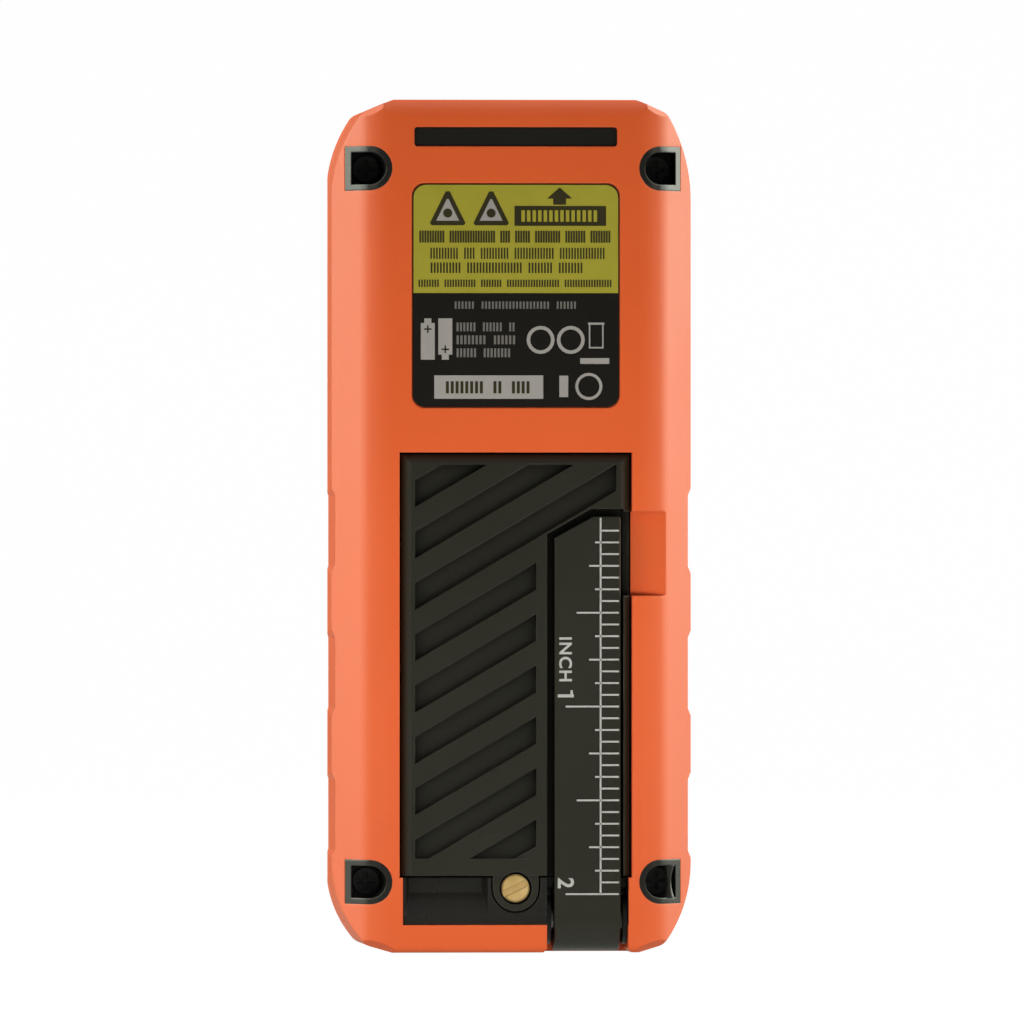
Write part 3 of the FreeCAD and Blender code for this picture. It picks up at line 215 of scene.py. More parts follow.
def edge_wear_and_highlight():
    """Mask of convex edges broken up by noise, for rubbed wear and a painted highlight, with the normal of
    a slightly broken edge.
    """
    tree, given, result = group("edge_wear_and_highlight", {"Radius": 0.0003, "Patchiness": 160.0},
                                {"Mask": "Float", "Normal": "Vector"})
    bevel = tree.nodes.new("ShaderNodeBevel")
    bevel.samples = 6
    shape = tree.nodes.new("ShaderNodeNewGeometry")
    dot = tree.nodes.new("ShaderNodeVectorMath")
    dot.operation = "DOT_PRODUCT"
    lean = tree.nodes.new("ShaderNodeMapRange")
    lean.inputs["From Min"].default_value = 0.995
    lean.inputs["From Max"].default_value = 0.86
    patches = tree.nodes.new("ShaderNodeTexNoise")
    patches.inputs["Detail"].default_value = 6.0
    place = tree.nodes.new("ShaderNodeTexCoord")
    spread = tree.nodes.new("ShaderNodeMapRange")
    spread.inputs["From Min"].default_value = 0.42
    spread.inputs["From Max"].default_value = 0.62
    mask = tree.nodes.new("ShaderNodeMath")
    mask.operation = "MULTIPLY"
    tree.links.new(given.outputs["Radius"], bevel.inputs["Radius"])
    tree.links.new(given.outputs["Patchiness"], patches.inputs["Scale"])
    tree.links.new(place.outputs["Object"], patches.inputs["Vector"])
    tree.links.new(bevel.outputs["Normal"], dot.inputs[0])
    tree.links.new(shape.outputs["Normal"], dot.inputs[1])
    tree.links.new(dot.outputs["Value"], lean.inputs["Value"])
    tree.links.new(patches.outputs["Fac"], spread.inputs["Value"])
    tree.links.new(lean.outputs["Result"], mask.inputs[0])
    tree.links.new(spread.outputs["Result"], mask.inputs[1])
    tree.links.new(mask.outputs["Value"], result.inputs["Mask"])
    tree.links.new(bevel.outputs["Normal"], result.inputs["Normal"])
    return tree


def crevice_grime_and_shade():
    """Mask of inside corners and gaps from ambient occlusion: painted shade where light is cut off, and the
    dust and skin grease that settle there.
    """
    tree, given, result = group("crevice_grime_and_shade", {"Reach": 0.002}, {"Mask": "Float"})
    # Ambient occlusion finds where light is cut off; the darkening it drives is painted shade as well as
    # grime.
    cover = tree.nodes.new("ShaderNodeAmbientOcclusion")
    cover.samples = 6
    deep = tree.nodes.new("ShaderNodeMapRange")
    deep.inputs["From Min"].default_value = 0.85
    deep.inputs["From Max"].default_value = 0.25
    tree.links.new(given.outputs["Reach"], cover.inputs["Distance"])
    tree.links.new(cover.outputs["AO"], deep.inputs["Value"])
    tree.links.new(deep.outputs["Result"], result.inputs["Mask"])
    return tree


GRAIN = moulded_grain()
WEAR_AND_HIGHLIGHT = edge_wear_and_highlight()
GRIME_AND_SHADE = crevice_grime_and_shade()


def placed(tree, node_group, **values):
    node = tree.nodes.new("ShaderNodeGroup")
    node.node_tree = node_group
    for socket, value in values.items():
        node.inputs[socket].default_value = value
    return node


def blended(tree, mask, under, over):
    """Colour mix driven by a mask; under and over are colours or colour outputs."""
    mix = tree.nodes.new("ShaderNodeMix")
    mix.data_type = "RGBA"
    tree.links.new(mask, mix.inputs["Factor"])
    for socket, colour in (("A", under), ("B", over)):
        target = [s for s in mix.inputs if s.name == socket and s.type == "RGBA"][0]
        if isinstance(colour, tuple):
            target.default_value = (*colour, 1.0)
        else:
            tree.links.new(colour, target)
    return [s for s in mix.outputs if s.type == "RGBA"][0]


def scaled(tree, value, factor, offset=0.0):
    node = tree.nodes.new("ShaderNodeMath")
    node.operation = "MULTIPLY_ADD"
    node.inputs[1].default_value = factor
    node.inputs[2].default_value = offset
    tree.links.new(value, node.inputs[0])
    return node.outputs["Value"]


def moulded(name, tone, paler, rubbed_and_lit, dirt_and_shade, roughness, grain=900.0, grain_height=0.000006,
            wear_and_highlight=0.35, shade_and_grime=0.4, shade_and_grime_reach=0.0016, edge=0.00025, **settings):
    """Moulded plastic or rubber: drifting tone, edges paler from rubbing and a painted highlight, grime and
    painted shade in corners, grain in the surface.
    """
    material, tree, shader = principled(name, **settings)
    texture = placed(tree, GRAIN, Scale=grain)
    worn_and_lit = placed(tree, WEAR_AND_HIGHLIGHT, Radius=edge)
    grime_and_shade_mask = placed(tree, GRIME_AND_SHADE, Reach=shade_and_grime_reach)
    colour = blended(tree, texture.outputs["Drift"], tone, paler)
    # Convex edges turn paler: partly rubbed wear, partly a painted highlight.
    colour = blended(tree, scaled(tree, worn_and_lit.outputs["Mask"], wear_and_highlight), colour, rubbed_and_lit)
    # Inside corners darken: partly grime, partly painted shade.
    colour = blended(tree, scaled(tree, grime_and_shade_mask.outputs["Mask"], shade_and_grime), colour, dirt_and_shade)
    tree.links.new(colour, shader.inputs["Base Color"])
    tree.links.new(scaled(tree, texture.outputs["Drift"], 0.16, roughness - 0.08),
                   shader.inputs["Roughness"])
    bump = tree.nodes.new("ShaderNodeBump")
    bump.inputs["Distance"].default_value = grain_height
    tree.links.new(texture.outputs["Height"], bump.inputs["Height"])
    tree.links.new(worn_and_lit.outputs["Normal"], bump.inputs["Normal"])
    tree.links.new(bump.outputs["Normal"], shader.inputs["Normal"])
    return material


def finish_nodes(material, *names):
    """Puts one finish on carried-over CAD nodes."""
    for name in names:
        nodes[name].data.materials.clear()
        nodes[name].data.materials.append(material)


# Its pale edge colour is partly a painted highlight, and its corner colour is partly painted shade.
jacket_rubber = moulded("jacket_rubber", (0.74, 0.108, 0.022), (0.80, 0.126, 0.028), (0.90, 0.30, 0.16),
                        (0.30, 0.045, 0.015), 0.42, wear_and_highlight=0.22, shade_and_grime=0.35)
finish_nodes(jacket_rubber, "rear_jacket", "front_jacket")

# ---------------------------------------------------------------- hard case
# Black moulded shells under the jacket. They show at the top strip, the corner
# wells, the sill under the cover and over the whole key face.
# The pale edge colour paints a highlight on the well rims, beside real wear; the corner colour is partly
# painted shade.
shell_black = moulded("shell_black", (0.012, 0.011, 0.009), (0.018, 0.017, 0.014), (0.10, 0.10, 0.09),
                      (0.004, 0.0035, 0.003), 0.26, grain=1400.0, grain_height=0.000003, wear_and_highlight=0.25)
face_black = moulded("face_black", (0.014, 0.014, 0.014), (0.020, 0.020, 0.020), (0.09, 0.09, 0.09),
                     (0.006, 0.005, 0.005), 0.40, grain=1000.0, grain_height=0.000008, wear_and_highlight=0.20)
seal_rubber = moulded("seal_rubber", (0.010, 0.010, 0.010), (0.016, 0.016, 0.016), (0.04, 0.04, 0.04),
                      (0.02, 0.018, 0.015), 0.70)
finish_nodes(shell_black, "rear_shell", "end_cap", "lanyard_post")
finish_nodes(face_black, "front_shell")
finish_nodes(seal_rubber, "case_seal", "cover_seal")

# ---------------------------------------------------------------- battery cover
# Satin black lid with slanting ribs, held by one captive screw. Its trough takes
# the folded foot, so the foot is swung out before the lid comes off.
# The occlusion mask at full strength and wide reach darkens the whole groove floors between the ribs as
# painted shade. The pale edge colour on the ribs is partly a painted highlight.
cover_black = moulded("cover_black", (0.017, 0.016, 0.010), (0.024, 0.023, 0.015), (0.12, 0.12, 0.10),
                      (0.003, 0.0025, 0.0015), 0.36, grain=1300.0, grain_height=0.000004, wear_and_highlight=0.45,
                      shade_and_grime=1.0, shade_and_grime_reach=0.006)
finish_nodes(cover_black, "battery_cover")

# ---------------------------------------------------------------- cover screw
# Turned brass captive screw with a single slot, its split clip and threaded insert.


def turned_metal(name, tone, paler, roughness, rings=4000.0, bare=0.92):
    """Lathe-turned metal: fine tool rings, patchy tarnish and slightly polished edges, painted paler as
    polish and a painted highlight.
    """
    material, tree, shader = principled(name)
    place = tree.nodes.new("ShaderNodeTexCoord")
    marks = tree.nodes.new("ShaderNodeTexNoise")
    marks.inputs["Scale"].default_value = rings
    marks.inputs["Detail"].default_value = 2.0
    tarnish = tree.nodes.new("ShaderNodeTexNoise")
    tarnish.inputs["Scale"].default_value = 700.0
    tarnish.inputs["Detail"].default_value = 6.0
    for texture in (marks, tarnish):
        tree.links.new(place.outputs["Object"], texture.inputs["Vector"])
    worn_and_lit = placed(tree, WEAR_AND_HIGHLIGHT, Radius=0.0001)
    colour = blended(tree, tarnish.outputs["Fac"], tone, paler)
    # Edges turn paler: partly polish, partly a painted highlight.
    colour = blended(tree, scaled(tree, worn_and_lit.outputs["Mask"], 0.6), colour, paler)
    tree.links.new(colour, shader.inputs["Base Color"])
    tree.links.new(scaled(tree, tarnish.outputs["Fac"], 0.25, roughness - 0.12), shader.inputs["Roughness"])
    tree.links.new(scaled(tree, tarnish.outputs["Fac"], -0.2, bare + 0.1), shader.inputs["Metallic"])
    bump = tree.nodes.new("ShaderNodeBump")
    bump.inputs["Distance"].default_value = 0.000002
    tree.links.new(marks.outputs["Fac"], bump.inputs["Height"])
    tree.links.new(worn_and_lit.outputs["Normal"], bump.inputs["Normal"])
    tree.links.new(bump.outputs["Normal"], shader.inputs["Normal"])
    return material


brass = turned_metal("brass", (0.62, 0.38, 0.11), (0.92, 0.68, 0.30), 0.42, bare=0.45)
steel = turned_metal("plated_steel", (0.42, 0.42, 0.41), (0.70, 0.70, 0.69), 0.30)
dark_steel = turned_metal("blackened_steel", (0.05, 0.05, 0.05), (0.13, 0.13, 0.13), 0.38)
finish_nodes(brass, "cover_screw", "screw_insert", "laser_tube", "laser_diode")
finish_nodes(steel, "screw_clip", "hinge_pin", "hinge_washers", "board_screws", "optics_screws")
finish_nodes(dark_steel, "case_screws")

# ---------------------------------------------------------------- fold-out foot
# Black end stop that swings on a steel pin. A two-inch scale is pad-printed on it in
# white, counted from the tip, with its numbers turned to read along the scale.
foot_black = moulded("foot_black", (0.018, 0.017, 0.011), (0.025, 0.024, 0.016), (0.12, 0.12, 0.10),
                     (0.006, 0.006, 0.004), 0.34, grain=1300.0, grain_height=0.000004, wear_and_highlight=0.30)
finish_nodes(foot_black, "foot")

foot_low, foot_high = [Vector(corner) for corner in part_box("foot")]
ink_lift = 0.010 * MM
ink_thickness = 0.012 * MM
line_width = 0.24 * MM
inch = 25.4 * MM
divisions = 16
scale_length = 2
tip_to_zero = 0.34 * MM
number_column = 7.6 * MM
number_size = 3.0 * MM
unit_size = 2.35 * MM


def add_block(mesh, x0, x1, y0, y1, z0, z1):
    """Adds a closed block to a mesh under construction."""
    corners = [mesh.verts.new((x, y, z)) for z in (z0, z1)
               for x, y in ((x0, y0), (x1, y0), (x1, y1), (x0, y1))]
    for a, b, c, d in ((3, 2, 1, 0), (4, 5, 6, 7), (0, 1, 5, 4), (1, 2, 6, 5), (2, 3, 7, 6), (3, 0, 4, 7)):
        mesh.faces.new([corners[index] for index in (a, b, c, d)])


def add_prism(mesh, outline, y0, y1):
    """Adds a flat closed shape, given by its x and z corners, from y0 to y1."""
    near = [mesh.verts.new((x, y0, z)) for x, z in outline]
    far = [mesh.verts.new((x, y1, z)) for x, z in outline]
    mesh.faces.new(near)
    mesh.faces.new(far[::-1])
    for index in range(len(outline)):
        after = (index + 1) % len(outline)
        mesh.faces.new((near[after], near[index], far[index], far[after]))


def piece(name, mesh, material, body):
    """Turns a mesh under construction into a piece of the meter."""
    bmesh.ops.recalc_face_normals(mesh, faces=mesh.faces)
    data = bpy.data.meshes.new(name)
    mesh.to_mesh(data)
    mesh.free()
    data.materials.append(material)
    made = bpy.data.objects.new(name, data)
    scene.collection.objects.link(made)
    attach(made, body)
    return made


def add_lettering(mesh, text, size, matrix, depth):
    """Adds solid characters; the matrix carries them from the text's own plane."""
    curve = bpy.data.curves.new("characters", "FONT")
    curve.body = text
    curve.size = size
    curve.extrude = depth / 2
    curve.align_x = "CENTER"
    curve.align_y = "CENTER"
    curve.space_character = 1.12
    curve.offset = size * 0.02
    holder = bpy.data.objects.new("characters", curve)
    scene.collection.objects.link(holder)
    bpy.context.view_layer.update()
    data = bpy.data.meshes.new_from_object(holder.evaluated_get(bpy.context.evaluated_depsgraph_get()))
    data.transform(matrix)
    mesh.from_mesh(data)
    bpy.data.objects.remove(holder)
    bpy.data.curves.remove(curve)


def printed_ink(name, tone, paler, roughness=0.5):
    """Screen-printed ink with tiny pinholes and a slight unevenness."""
    material, tree, shader = principled(name)
    place = tree.nodes.new("ShaderNodeTexCoord")
    speckle = tree.nodes.new("ShaderNodeTexNoise")
    speckle.inputs["Scale"].default_value = 2600.0
    speckle.inputs["Detail"].default_value = 3.0
    tree.links.new(place.outputs["Object"], speckle.inputs["Vector"])
    tree.links.new(blended(tree, speckle.outputs["Fac"], tone, paler), shader.inputs["Base Color"])
    tree.links.new(scaled(tree, speckle.outputs["Fac"], 0.2, roughness - 0.1), shader.inputs["Roughness"])
    return material


white_ink = printed_ink("white_ink", (0.36, 0.36, 0.33), (0.56, 0.56, 0.52))


def ruler_print():
    """Scale counted from the foot's tip, with the unit and the inch numbers beside it."""
    mesh = bmesh.new()
    y0 = foot_high.y + ink_lift
    y1 = y0 + ink_thickness
    edge = foot_low.x + 0.25 * MM
    spine = foot_low.x + 2.75 * MM
    reach = {1: 2.75 * MM, 2: 3.5 * MM, 4: 4.3 * MM, 8: 6.0 * MM, 16: 7.5 * MM}
    last = scale_length * divisions
    top = foot_high.z - tip_to_zero
    bottom = top - last * inch / divisions
    for tick in range(1, last + 1):
        size = max(step for step in reach if tick % step == 0)
        z = top - tick * inch / divisions
        add_block(mesh, edge, foot_low.x + reach[size], y0, y1, z - line_width / 2, z + line_width / 2)
    add_block(mesh, spine - line_width / 2, spine + line_width / 2, y0, y1, bottom, top + 0.15 * MM)
    column = foot_low.x + number_column
    for text, size, z in (("INCH", unit_size, top - 19.0 * MM),
                          ("1", number_size, top - inch + 1.45 * MM),
                          ("2", number_size, top - 2 * inch + 1.5 * MM)):
        turn = Matrix.Translation((column, (y0 + y1) / 2, z)) @ Matrix.Rotation(math.radians(180), 4, "Z")
        add_lettering(mesh, text, size, turn @ Matrix.Rotation(math.radians(90), 4, "X")
                      @ Matrix.Rotation(math.radians(-90), 4, "Z"), ink_thickness)
    flag_x = column - 1.08 * MM
    flag_z = top - inch + 1.5 * MM
    flag_width, flag_length = 0.32 * MM, 0.7 * MM
    add_block(mesh, flag_x, flag_x + flag_width, y0, y1, flag_z, flag_z + flag_length)
    return piece("ruler_print", mesh, white_ink, "foot")


ruler_print()

# ---------------------------------------------------------------- hinge
# Hard steel pin pressed across the slot, with a black nylon washer each side of the
# foot's knuckle. Only slivers of them show beside the knuckle.
nylon = moulded("washer_nylon", (0.010, 0.010, 0.009), (0.016, 0.016, 0.014), (0.05, 0.05, 0.05),
                (0.004, 0.004, 0.004), 0.45, grain=2200.0, wear_and_highlight=0.1)
finish_nodes(nylon, "hinge_washers")

# ---------------------------------------------------------------- label
# Die-cut polyester label in a shallow recess: a black ground, a yellow upper field,
# and print in black and pale grey. The wording is rows of plain blocks, and the marks
# are plain triangles, rings and blocks.
label_high = Vector(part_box("label_plate")[1])
label_corner = 1.7 * MM
label_margin = 0.12 * MM
field_low = 89.29 * MM


def printed_film(name, tone, paler, roughness):
    """Laminated print: faint cloudiness in the ink, fine scuffs in the gloss film over it."""
    material, tree, shader = principled(name, Coat_Weight=0.25, Coat_Roughness=0.25)
    place = tree.nodes.new("ShaderNodeTexCoord")
    cloud = tree.nodes.new("ShaderNodeTexNoise")
    cloud.inputs["Scale"].default_value = 240.0
    cloud.inputs["Detail"].default_value = 5.0
    scuffs = tree.nodes.new("ShaderNodeTexNoise")
    scuffs.inputs["Scale"].default_value = 1500.0
    scuffs.inputs["Distortion"].default_value = 2.0
    for texture in (cloud, scuffs):
        tree.links.new(place.outputs["Object"], texture.inputs["Vector"])
    tree.links.new(blended(tree, cloud.outputs["Fac"], tone, paler), shader.inputs["Base Color"])
    tree.links.new(scaled(tree, scuffs.outputs["Fac"], 0.22, roughness - 0.11), shader.inputs["Roughness"])
    bump = tree.nodes.new("ShaderNodeBump")
    bump.inputs["Distance"].default_value = 0.000002
    tree.links.new(scuffs.outputs["Fac"], bump.inputs["Height"])
    tree.links.new(bump.outputs["Normal"], shader.inputs["Normal"])
    return material


label_black = printed_film("label_black", (0.006, 0.0045, 0.003), (0.009, 0.007, 0.005), 0.38)
label_yellow = printed_film("label_yellow", (0.33, 0.29, 0.026), (0.40, 0.36, 0.036), 0.42)
label_dark = printed_film("label_dark_ink", (0.022, 0.018, 0.006), (0.038, 0.032, 0.010), 0.42)
label_pale = printed_film("label_pale_ink", (0.30, 0.28, 0.26), (0.38, 0.36, 0.33), 0.45)
label_faint = printed_film("label_faint_ink", (0.13, 0.12, 0.11), (0.18, 0.17, 0.15), 0.45)
finish_nodes(label_black, "label_plate")


def corner_arc(x, z, radius, start, steps=8):
    """Points of a quarter turn round a corner."""
    return [(x + radius * math.cos(math.radians(start + 90 * step / steps)),
             z + radius * math.sin(math.radians(start + 90 * step / steps))) for step in range(steps + 1)]


def add_bow(mesh, x, z, outer, inner, start, end, y0, y1, steps=20):
    """Adds part of a flat ring, between two angles seen from the back."""
    def rim(radius, way):
        angles = [math.radians(start + (end - start) * step / steps) for step in range(steps + 1)][::way]
        return [(x - radius * math.cos(angle), z + radius * math.sin(angle)) for angle in angles]
    near, far = rim(outer, 1), rim(inner, -1)
    for index in range(steps):
        a, b, c, d = near[index], near[index + 1], far[steps - index - 1], far[steps - index]
        add_prism(mesh, (a, b, c, d), y0, y1)


class LabelInk:
    """One ink layer of the label, drawn in millimetres right and up, seen from the back."""

    def __init__(self, layer):
        self.mesh = bmesh.new()
        self.y0 = label_high.y + (layer * 0.012 + 0.002) * MM
        self.y1 = self.y0 + 0.010 * MM

    def block(self, left, right, low, high):
        add_block(self.mesh, -right * MM, -left * MM, self.y0, self.y1, low * MM, high * MM)

    def shape(self, *points):
        add_prism(self.mesh, [(-across * MM, up * MM) for across, up in points], self.y0, self.y1)

    def bow(self, across, up, outer, inner, start, end):
        add_bow(self.mesh, -across * MM, up * MM, outer * MM, inner * MM, start, end, self.y0, self.y1)

    def blank_words(self, left, right, low, high, lengths, weight):
        """A line of wording reduced to two plain strokes for each character."""
        gap = 0.9
        pitch = (right - left) / (sum(lengths) + gap * (len(lengths) - 1))
        at = left
        for length in lengths:
            for stroke in range(2 * length):
                self.block(at, at + pitch * weight / 2, low, high)
                at += pitch / 2
            at += pitch * gap


field = LabelInk(0)
field_edge = (label_high.x - label_margin) / MM
field_top = (label_high.z - label_margin) / MM
turn_radius = label_corner / MM
turn_x, turn_z = field_edge - turn_radius, field_top - turn_radius
field.shape((field_edge, field_low / MM), *corner_arc(turn_x, turn_z, turn_radius, 0),
            *corner_arc(-turn_x, turn_z, turn_radius, 90), (-field_edge, field_low / MM))
piece("label_field", field.mesh, label_yellow, "root")

dark_ink = LabelInk(1)
triangle_middles = (-9.25, -3.35)
triangle_low, triangle_height, triangle_half = 98.45, 4.6, 2.42
triangle_peak = 0.28
for triangle_middle in triangle_middles:
    dark_ink.shape((triangle_middle - triangle_half, triangle_low + 0.3),
                   (triangle_middle - triangle_half + 0.25, triangle_low),
                   (triangle_middle + triangle_half - 0.25, triangle_low),
                   (triangle_middle + triangle_half, triangle_low + 0.3),
                   (triangle_middle + triangle_peak, triangle_low + triangle_height),
                   (triangle_middle - triangle_peak, triangle_low + triangle_height))
dark_ink.block(-0.19, 12.25, 98.39, 101.09)
arrow_middle, arrow_shaft, arrow_half = 5.94, 0.88, 1.71
arrow_low, arrow_neck, arrow_tip = 101.25, 102.08, 103.6
dark_ink.shape((arrow_middle - arrow_shaft, arrow_low), (arrow_middle + arrow_shaft, arrow_low),
               (arrow_middle + arrow_shaft, arrow_neck), (arrow_middle + arrow_half, arrow_neck),
               (arrow_middle, arrow_tip), (arrow_middle - arrow_half, arrow_neck),
               (arrow_middle - arrow_shaft, arrow_neck))
dark_ink.blank_words(-13.1, 12.9, 96.11, 97.73, (5, 9, 2, 3, 5, 4, 4), 0.76)
dark_ink.blank_words(-11.6, 12.2, 93.90, 95.42, (5, 2, 5, 7, 8), 0.56)
dark_ink.blank_words(-11.55, 9.2, 92.00, 93.42, (5, 9, 4, 4), 0.56)
dark_ink.blank_words(-13.2, 13.1, 90.10, 91.10, (4, 6, 4, 10, 9), 0.62)
piece("label_dark_print", dark_ink.mesh, label_dark, "root")

pale_ink = LabelInk(2)
for triangle_middle in triangle_middles:
    pale_ink.shape((triangle_middle - 1.55, triangle_low + 0.62),
                   (triangle_middle + 1.55, triangle_low + 0.62),
                   (triangle_middle + 0.12, triangle_low + 3.55),
                   (triangle_middle - 0.12, triangle_low + 3.55))
for cell_left, nub_up in ((-12.9, True), (-10.53, False)):
    cell_middle = cell_left + 0.95
    body_low, body_high = (80.26, 85.23) if nub_up else (80.94, 85.85)
    nub_low, nub_high = (body_high, 85.85) if nub_up else (80.26, body_low)
    pale_ink.block(cell_left, cell_left + 1.9, body_low, body_high)
    pale_ink.block(cell_middle - 0.48, cell_middle + 0.48, nub_low, nub_high)
for ring_middle in (3.35, 7.45):
    pale_ink.bow(ring_middle, 82.95, 1.9, 1.42, 0, 360)
pale_ink.block(8.73, 12.68, 79.70, 80.48)
for left, right, low, high in ((9.8, 12.0, 85.0, 85.3), (9.9, 10.1, 82.0, 85.0), (11.7, 11.9, 82.0, 85.0),
                               (9.9, 11.9, 81.8, 82.0)):
    pale_ink.block(left, right, low, high)
pale_ink.block(-11.07, 3.71, 74.97, 78.14)
pale_ink.bow(9.9, 76.65, 1.85, 1.45, 0, 360)
pale_ink.block(5.9, 7.1, 75.2, 78.1)
piece("label_pale_print", pale_ink.mesh, label_pale, "root")

faint_ink = LabelInk(2)
faint_ink.blank_words(-8.3, 8.35, 87.15, 88.15, (3, 10, 3), 0.55)
faint_ink.blank_words(-8.05, 0.0, 84.10, 85.30, (3, 3, 1), 0.6)
faint_ink.blank_words(-8.05, 0.1, 82.35, 83.55, (4, 3), 0.6)
faint_ink.blank_words(-8.05, -0.6, 80.60, 81.80, (3, 4), 0.6)
piece("label_faint_print", faint_ink.mesh, label_faint, "root")

top_ink = LabelInk(3)
for triangle_middle in triangle_middles:
    top_ink.bow(triangle_middle, triangle_low + 1.65, 0.62, 0.0, 0, 360)
for plus_middle, plus_up in ((-11.95, 84.4), (-9.58, 81.67)):
    top_ink.block(plus_middle - 0.52, plus_middle + 0.52, plus_up - 0.1, plus_up + 0.1)
    top_ink.block(plus_middle - 0.1, plus_middle + 0.1, plus_up - 0.52, plus_up + 0.52)
top_ink.blank_words(-9.5, 2.1, 75.7, 77.35, (4, 1, 2), 0.62)
piece("label_top_print", top_ink.mesh, label_dark, "root")

knocked_out = LabelInk(3)
knocked_out.blank_words(0.75, 11.3, 98.95, 100.5, (7,), 0.62)
piece("label_knocked_out_print", knocked_out.mesh, label_yellow, "root")

# ---------------------------------------------------------------- display
# Reflective liquid-crystal panel behind a clear acrylic window with a black printed
# border. Readings stand in stacked rows, the newest and largest at the bottom.
clear_acrylic, tree, shader = principled("clear_acrylic", Transmission_Weight=1.0, IOR=1.49)
smears = tree.nodes.new("ShaderNodeTexNoise")
smears.inputs["Scale"].default_value = 180.0
smears.inputs["Detail"].default_value = 6.0
tree.links.new(scaled(tree, smears.outputs["Fac"], 0.08, -0.01), shader.inputs["Roughness"])
tree.links.new(blended(tree, smears.outputs["Fac"], (0.93, 0.95, 0.95), (0.98, 0.99, 0.99)),
               shader.inputs["Base Color"])
finish_nodes(clear_acrylic, "display_window")
panel_grey = printed_film("panel_grey", (0.26, 0.30, 0.25), (0.30, 0.34, 0.29), 0.5)
finish_nodes(panel_grey, "display_module")
segment_ink = printed_ink("segment_ink", (0.010, 0.011, 0.010), (0.018, 0.019, 0.018), 0.4)
border_ink = printed_ink("border_ink", (0.008, 0.008, 0.008), (0.013, 0.013, 0.013), 0.35)

panel_low, panel_high = [Vector(corner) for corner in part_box("display_module")]
panel_front = panel_low.y - 0.004 * MM
panel_ink = 0.012 * MM
segment_rows = {"0": "abcdef", "1": "bc", "2": "abged", "3": "abgcd", "4": "fgbc",
                "5": "afgcd", "6": "afgecd", "7": "abc", "8": "abcdefg", "9": "abcdfg"}
digit_width = 0.52


def add_digit(mesh, digit, left, low, height):
    """Adds one seven-segment digit to the display."""
    width, thick = height * digit_width, height * 0.11
    gap = thick * 0.25
    middle, top, right = low + height / 2, low + height, left + width
    bars = {"a": (left + gap, right - gap, top - thick, top),
            "b": (right - thick, right, middle + gap, top - gap),
            "c": (right - thick, right, low + gap, middle - gap),
            "d": (left + gap, right - gap, low, low + thick),
            "e": (left, left + thick, low + gap, middle - gap),
            "f": (left, left + thick, middle + gap, top - gap),
            "g": (left + gap, right - gap, middle - thick / 2, middle + thick / 2)}
    for name in segment_rows[digit]:
        x0, x1, z0, z1 = bars[name]
        add_block(mesh, x0, x1, panel_front - panel_ink, panel_front, z0, z1)


def add_reading(mesh, text, right, low, height):
    """Adds a row of digits that ends at the right, with square points between them."""
    at = right
    for character in reversed(text):
        if character == ".":
            at -= height * 0.22
            add_block(mesh, at, at + height * 0.12, panel_front - panel_ink, panel_front,
                      low, low + height * 0.12)
            at -= height * 0.06
        else:
            at -= height * digit_width
            add_digit(mesh, character, at, low, height)
            at -= height * 0.16


readings = bmesh.new()
panel_right = panel_high.x - 4.6 * MM
row_pitch = 5.6 * MM
for row, reading in enumerate(("1.204", "3.875", "0.962")):
    add_reading(readings, reading, panel_right, panel_high.z - 13.0 * MM - row * row_pitch, 3.9 * MM)
add_reading(readings, "2.648", panel_right, panel_low.z + 3.4 * MM, 6.4 * MM)
for bar in range(4):
    add_block(readings, panel_low.x + (3.2 + bar) * MM, panel_low.x + (3.9 + bar) * MM,
              panel_front - panel_ink, panel_front,
              panel_high.z - 6.6 * MM, panel_high.z - (5.8 - 0.5 * bar) * MM)
for x0, x1, z0, z1 in ((8.2, 12.4, 6.7, 6.4), (8.2, 12.4, 4.4, 4.1), (8.2, 8.5, 6.7, 4.1),
                       (12.1, 12.4, 6.7, 4.1), (8.9, 9.7, 6.0, 4.8), (10.0, 10.8, 6.0, 4.8),
                       (12.4, 12.8, 5.9, 4.9)):
    add_block(readings, panel_high.x - (x1 - 5.2) * MM, panel_high.x - (x0 - 5.2) * MM,
              panel_front - panel_ink, panel_front, panel_high.z - z0 * MM, panel_high.z - z1 * MM)
add_block(readings, panel_low.x + 3.0 * MM, panel_high.x - 3.0 * MM, panel_front - panel_ink, panel_front,
          panel_high.z - 8.0 * MM, panel_high.z - 7.8 * MM)
piece("display_readings", readings, segment_ink, "root")

pane_low, pane_high = [Vector(corner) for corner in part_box("display_window")]
border = bmesh.new()
border_outer, border_inner = 1.75 * MM, 3.3 * MM
outer = (pane_low.x + border_outer, pane_high.x - border_outer,
         pane_low.z + border_outer, pane_high.z - border_outer)
inner = (pane_low.x + border_inner, pane_high.x - border_inner,
         pane_low.z + border_inner, pane_high.z - border_inner)
border_y0, border_y1 = pane_high.y + 0.02 * MM, pane_high.y + 0.05 * MM
for x0, x1, z0, z1 in ((outer[0], outer[1], inner[3], outer[3]),
                       (outer[0], outer[1], outer[2], inner[2]),
                       (outer[0], inner[0], inner[2], inner[3]),
                       (inner[1], outer[1], inner[2], inner[3])):
    add_block(border, x0, x1, border_y0, border_y1, z0, z1)
piece("window_border", border, border_ink, "root")
frame_white = moulded("frame_white", (0.62, 0.62, 0.60), (0.70, 0.70, 0.68), (0.80, 0.80, 0.78),
                      (0.35, 0.33, 0.30), 0.5)
finish_nodes(frame_white, "display_frame")

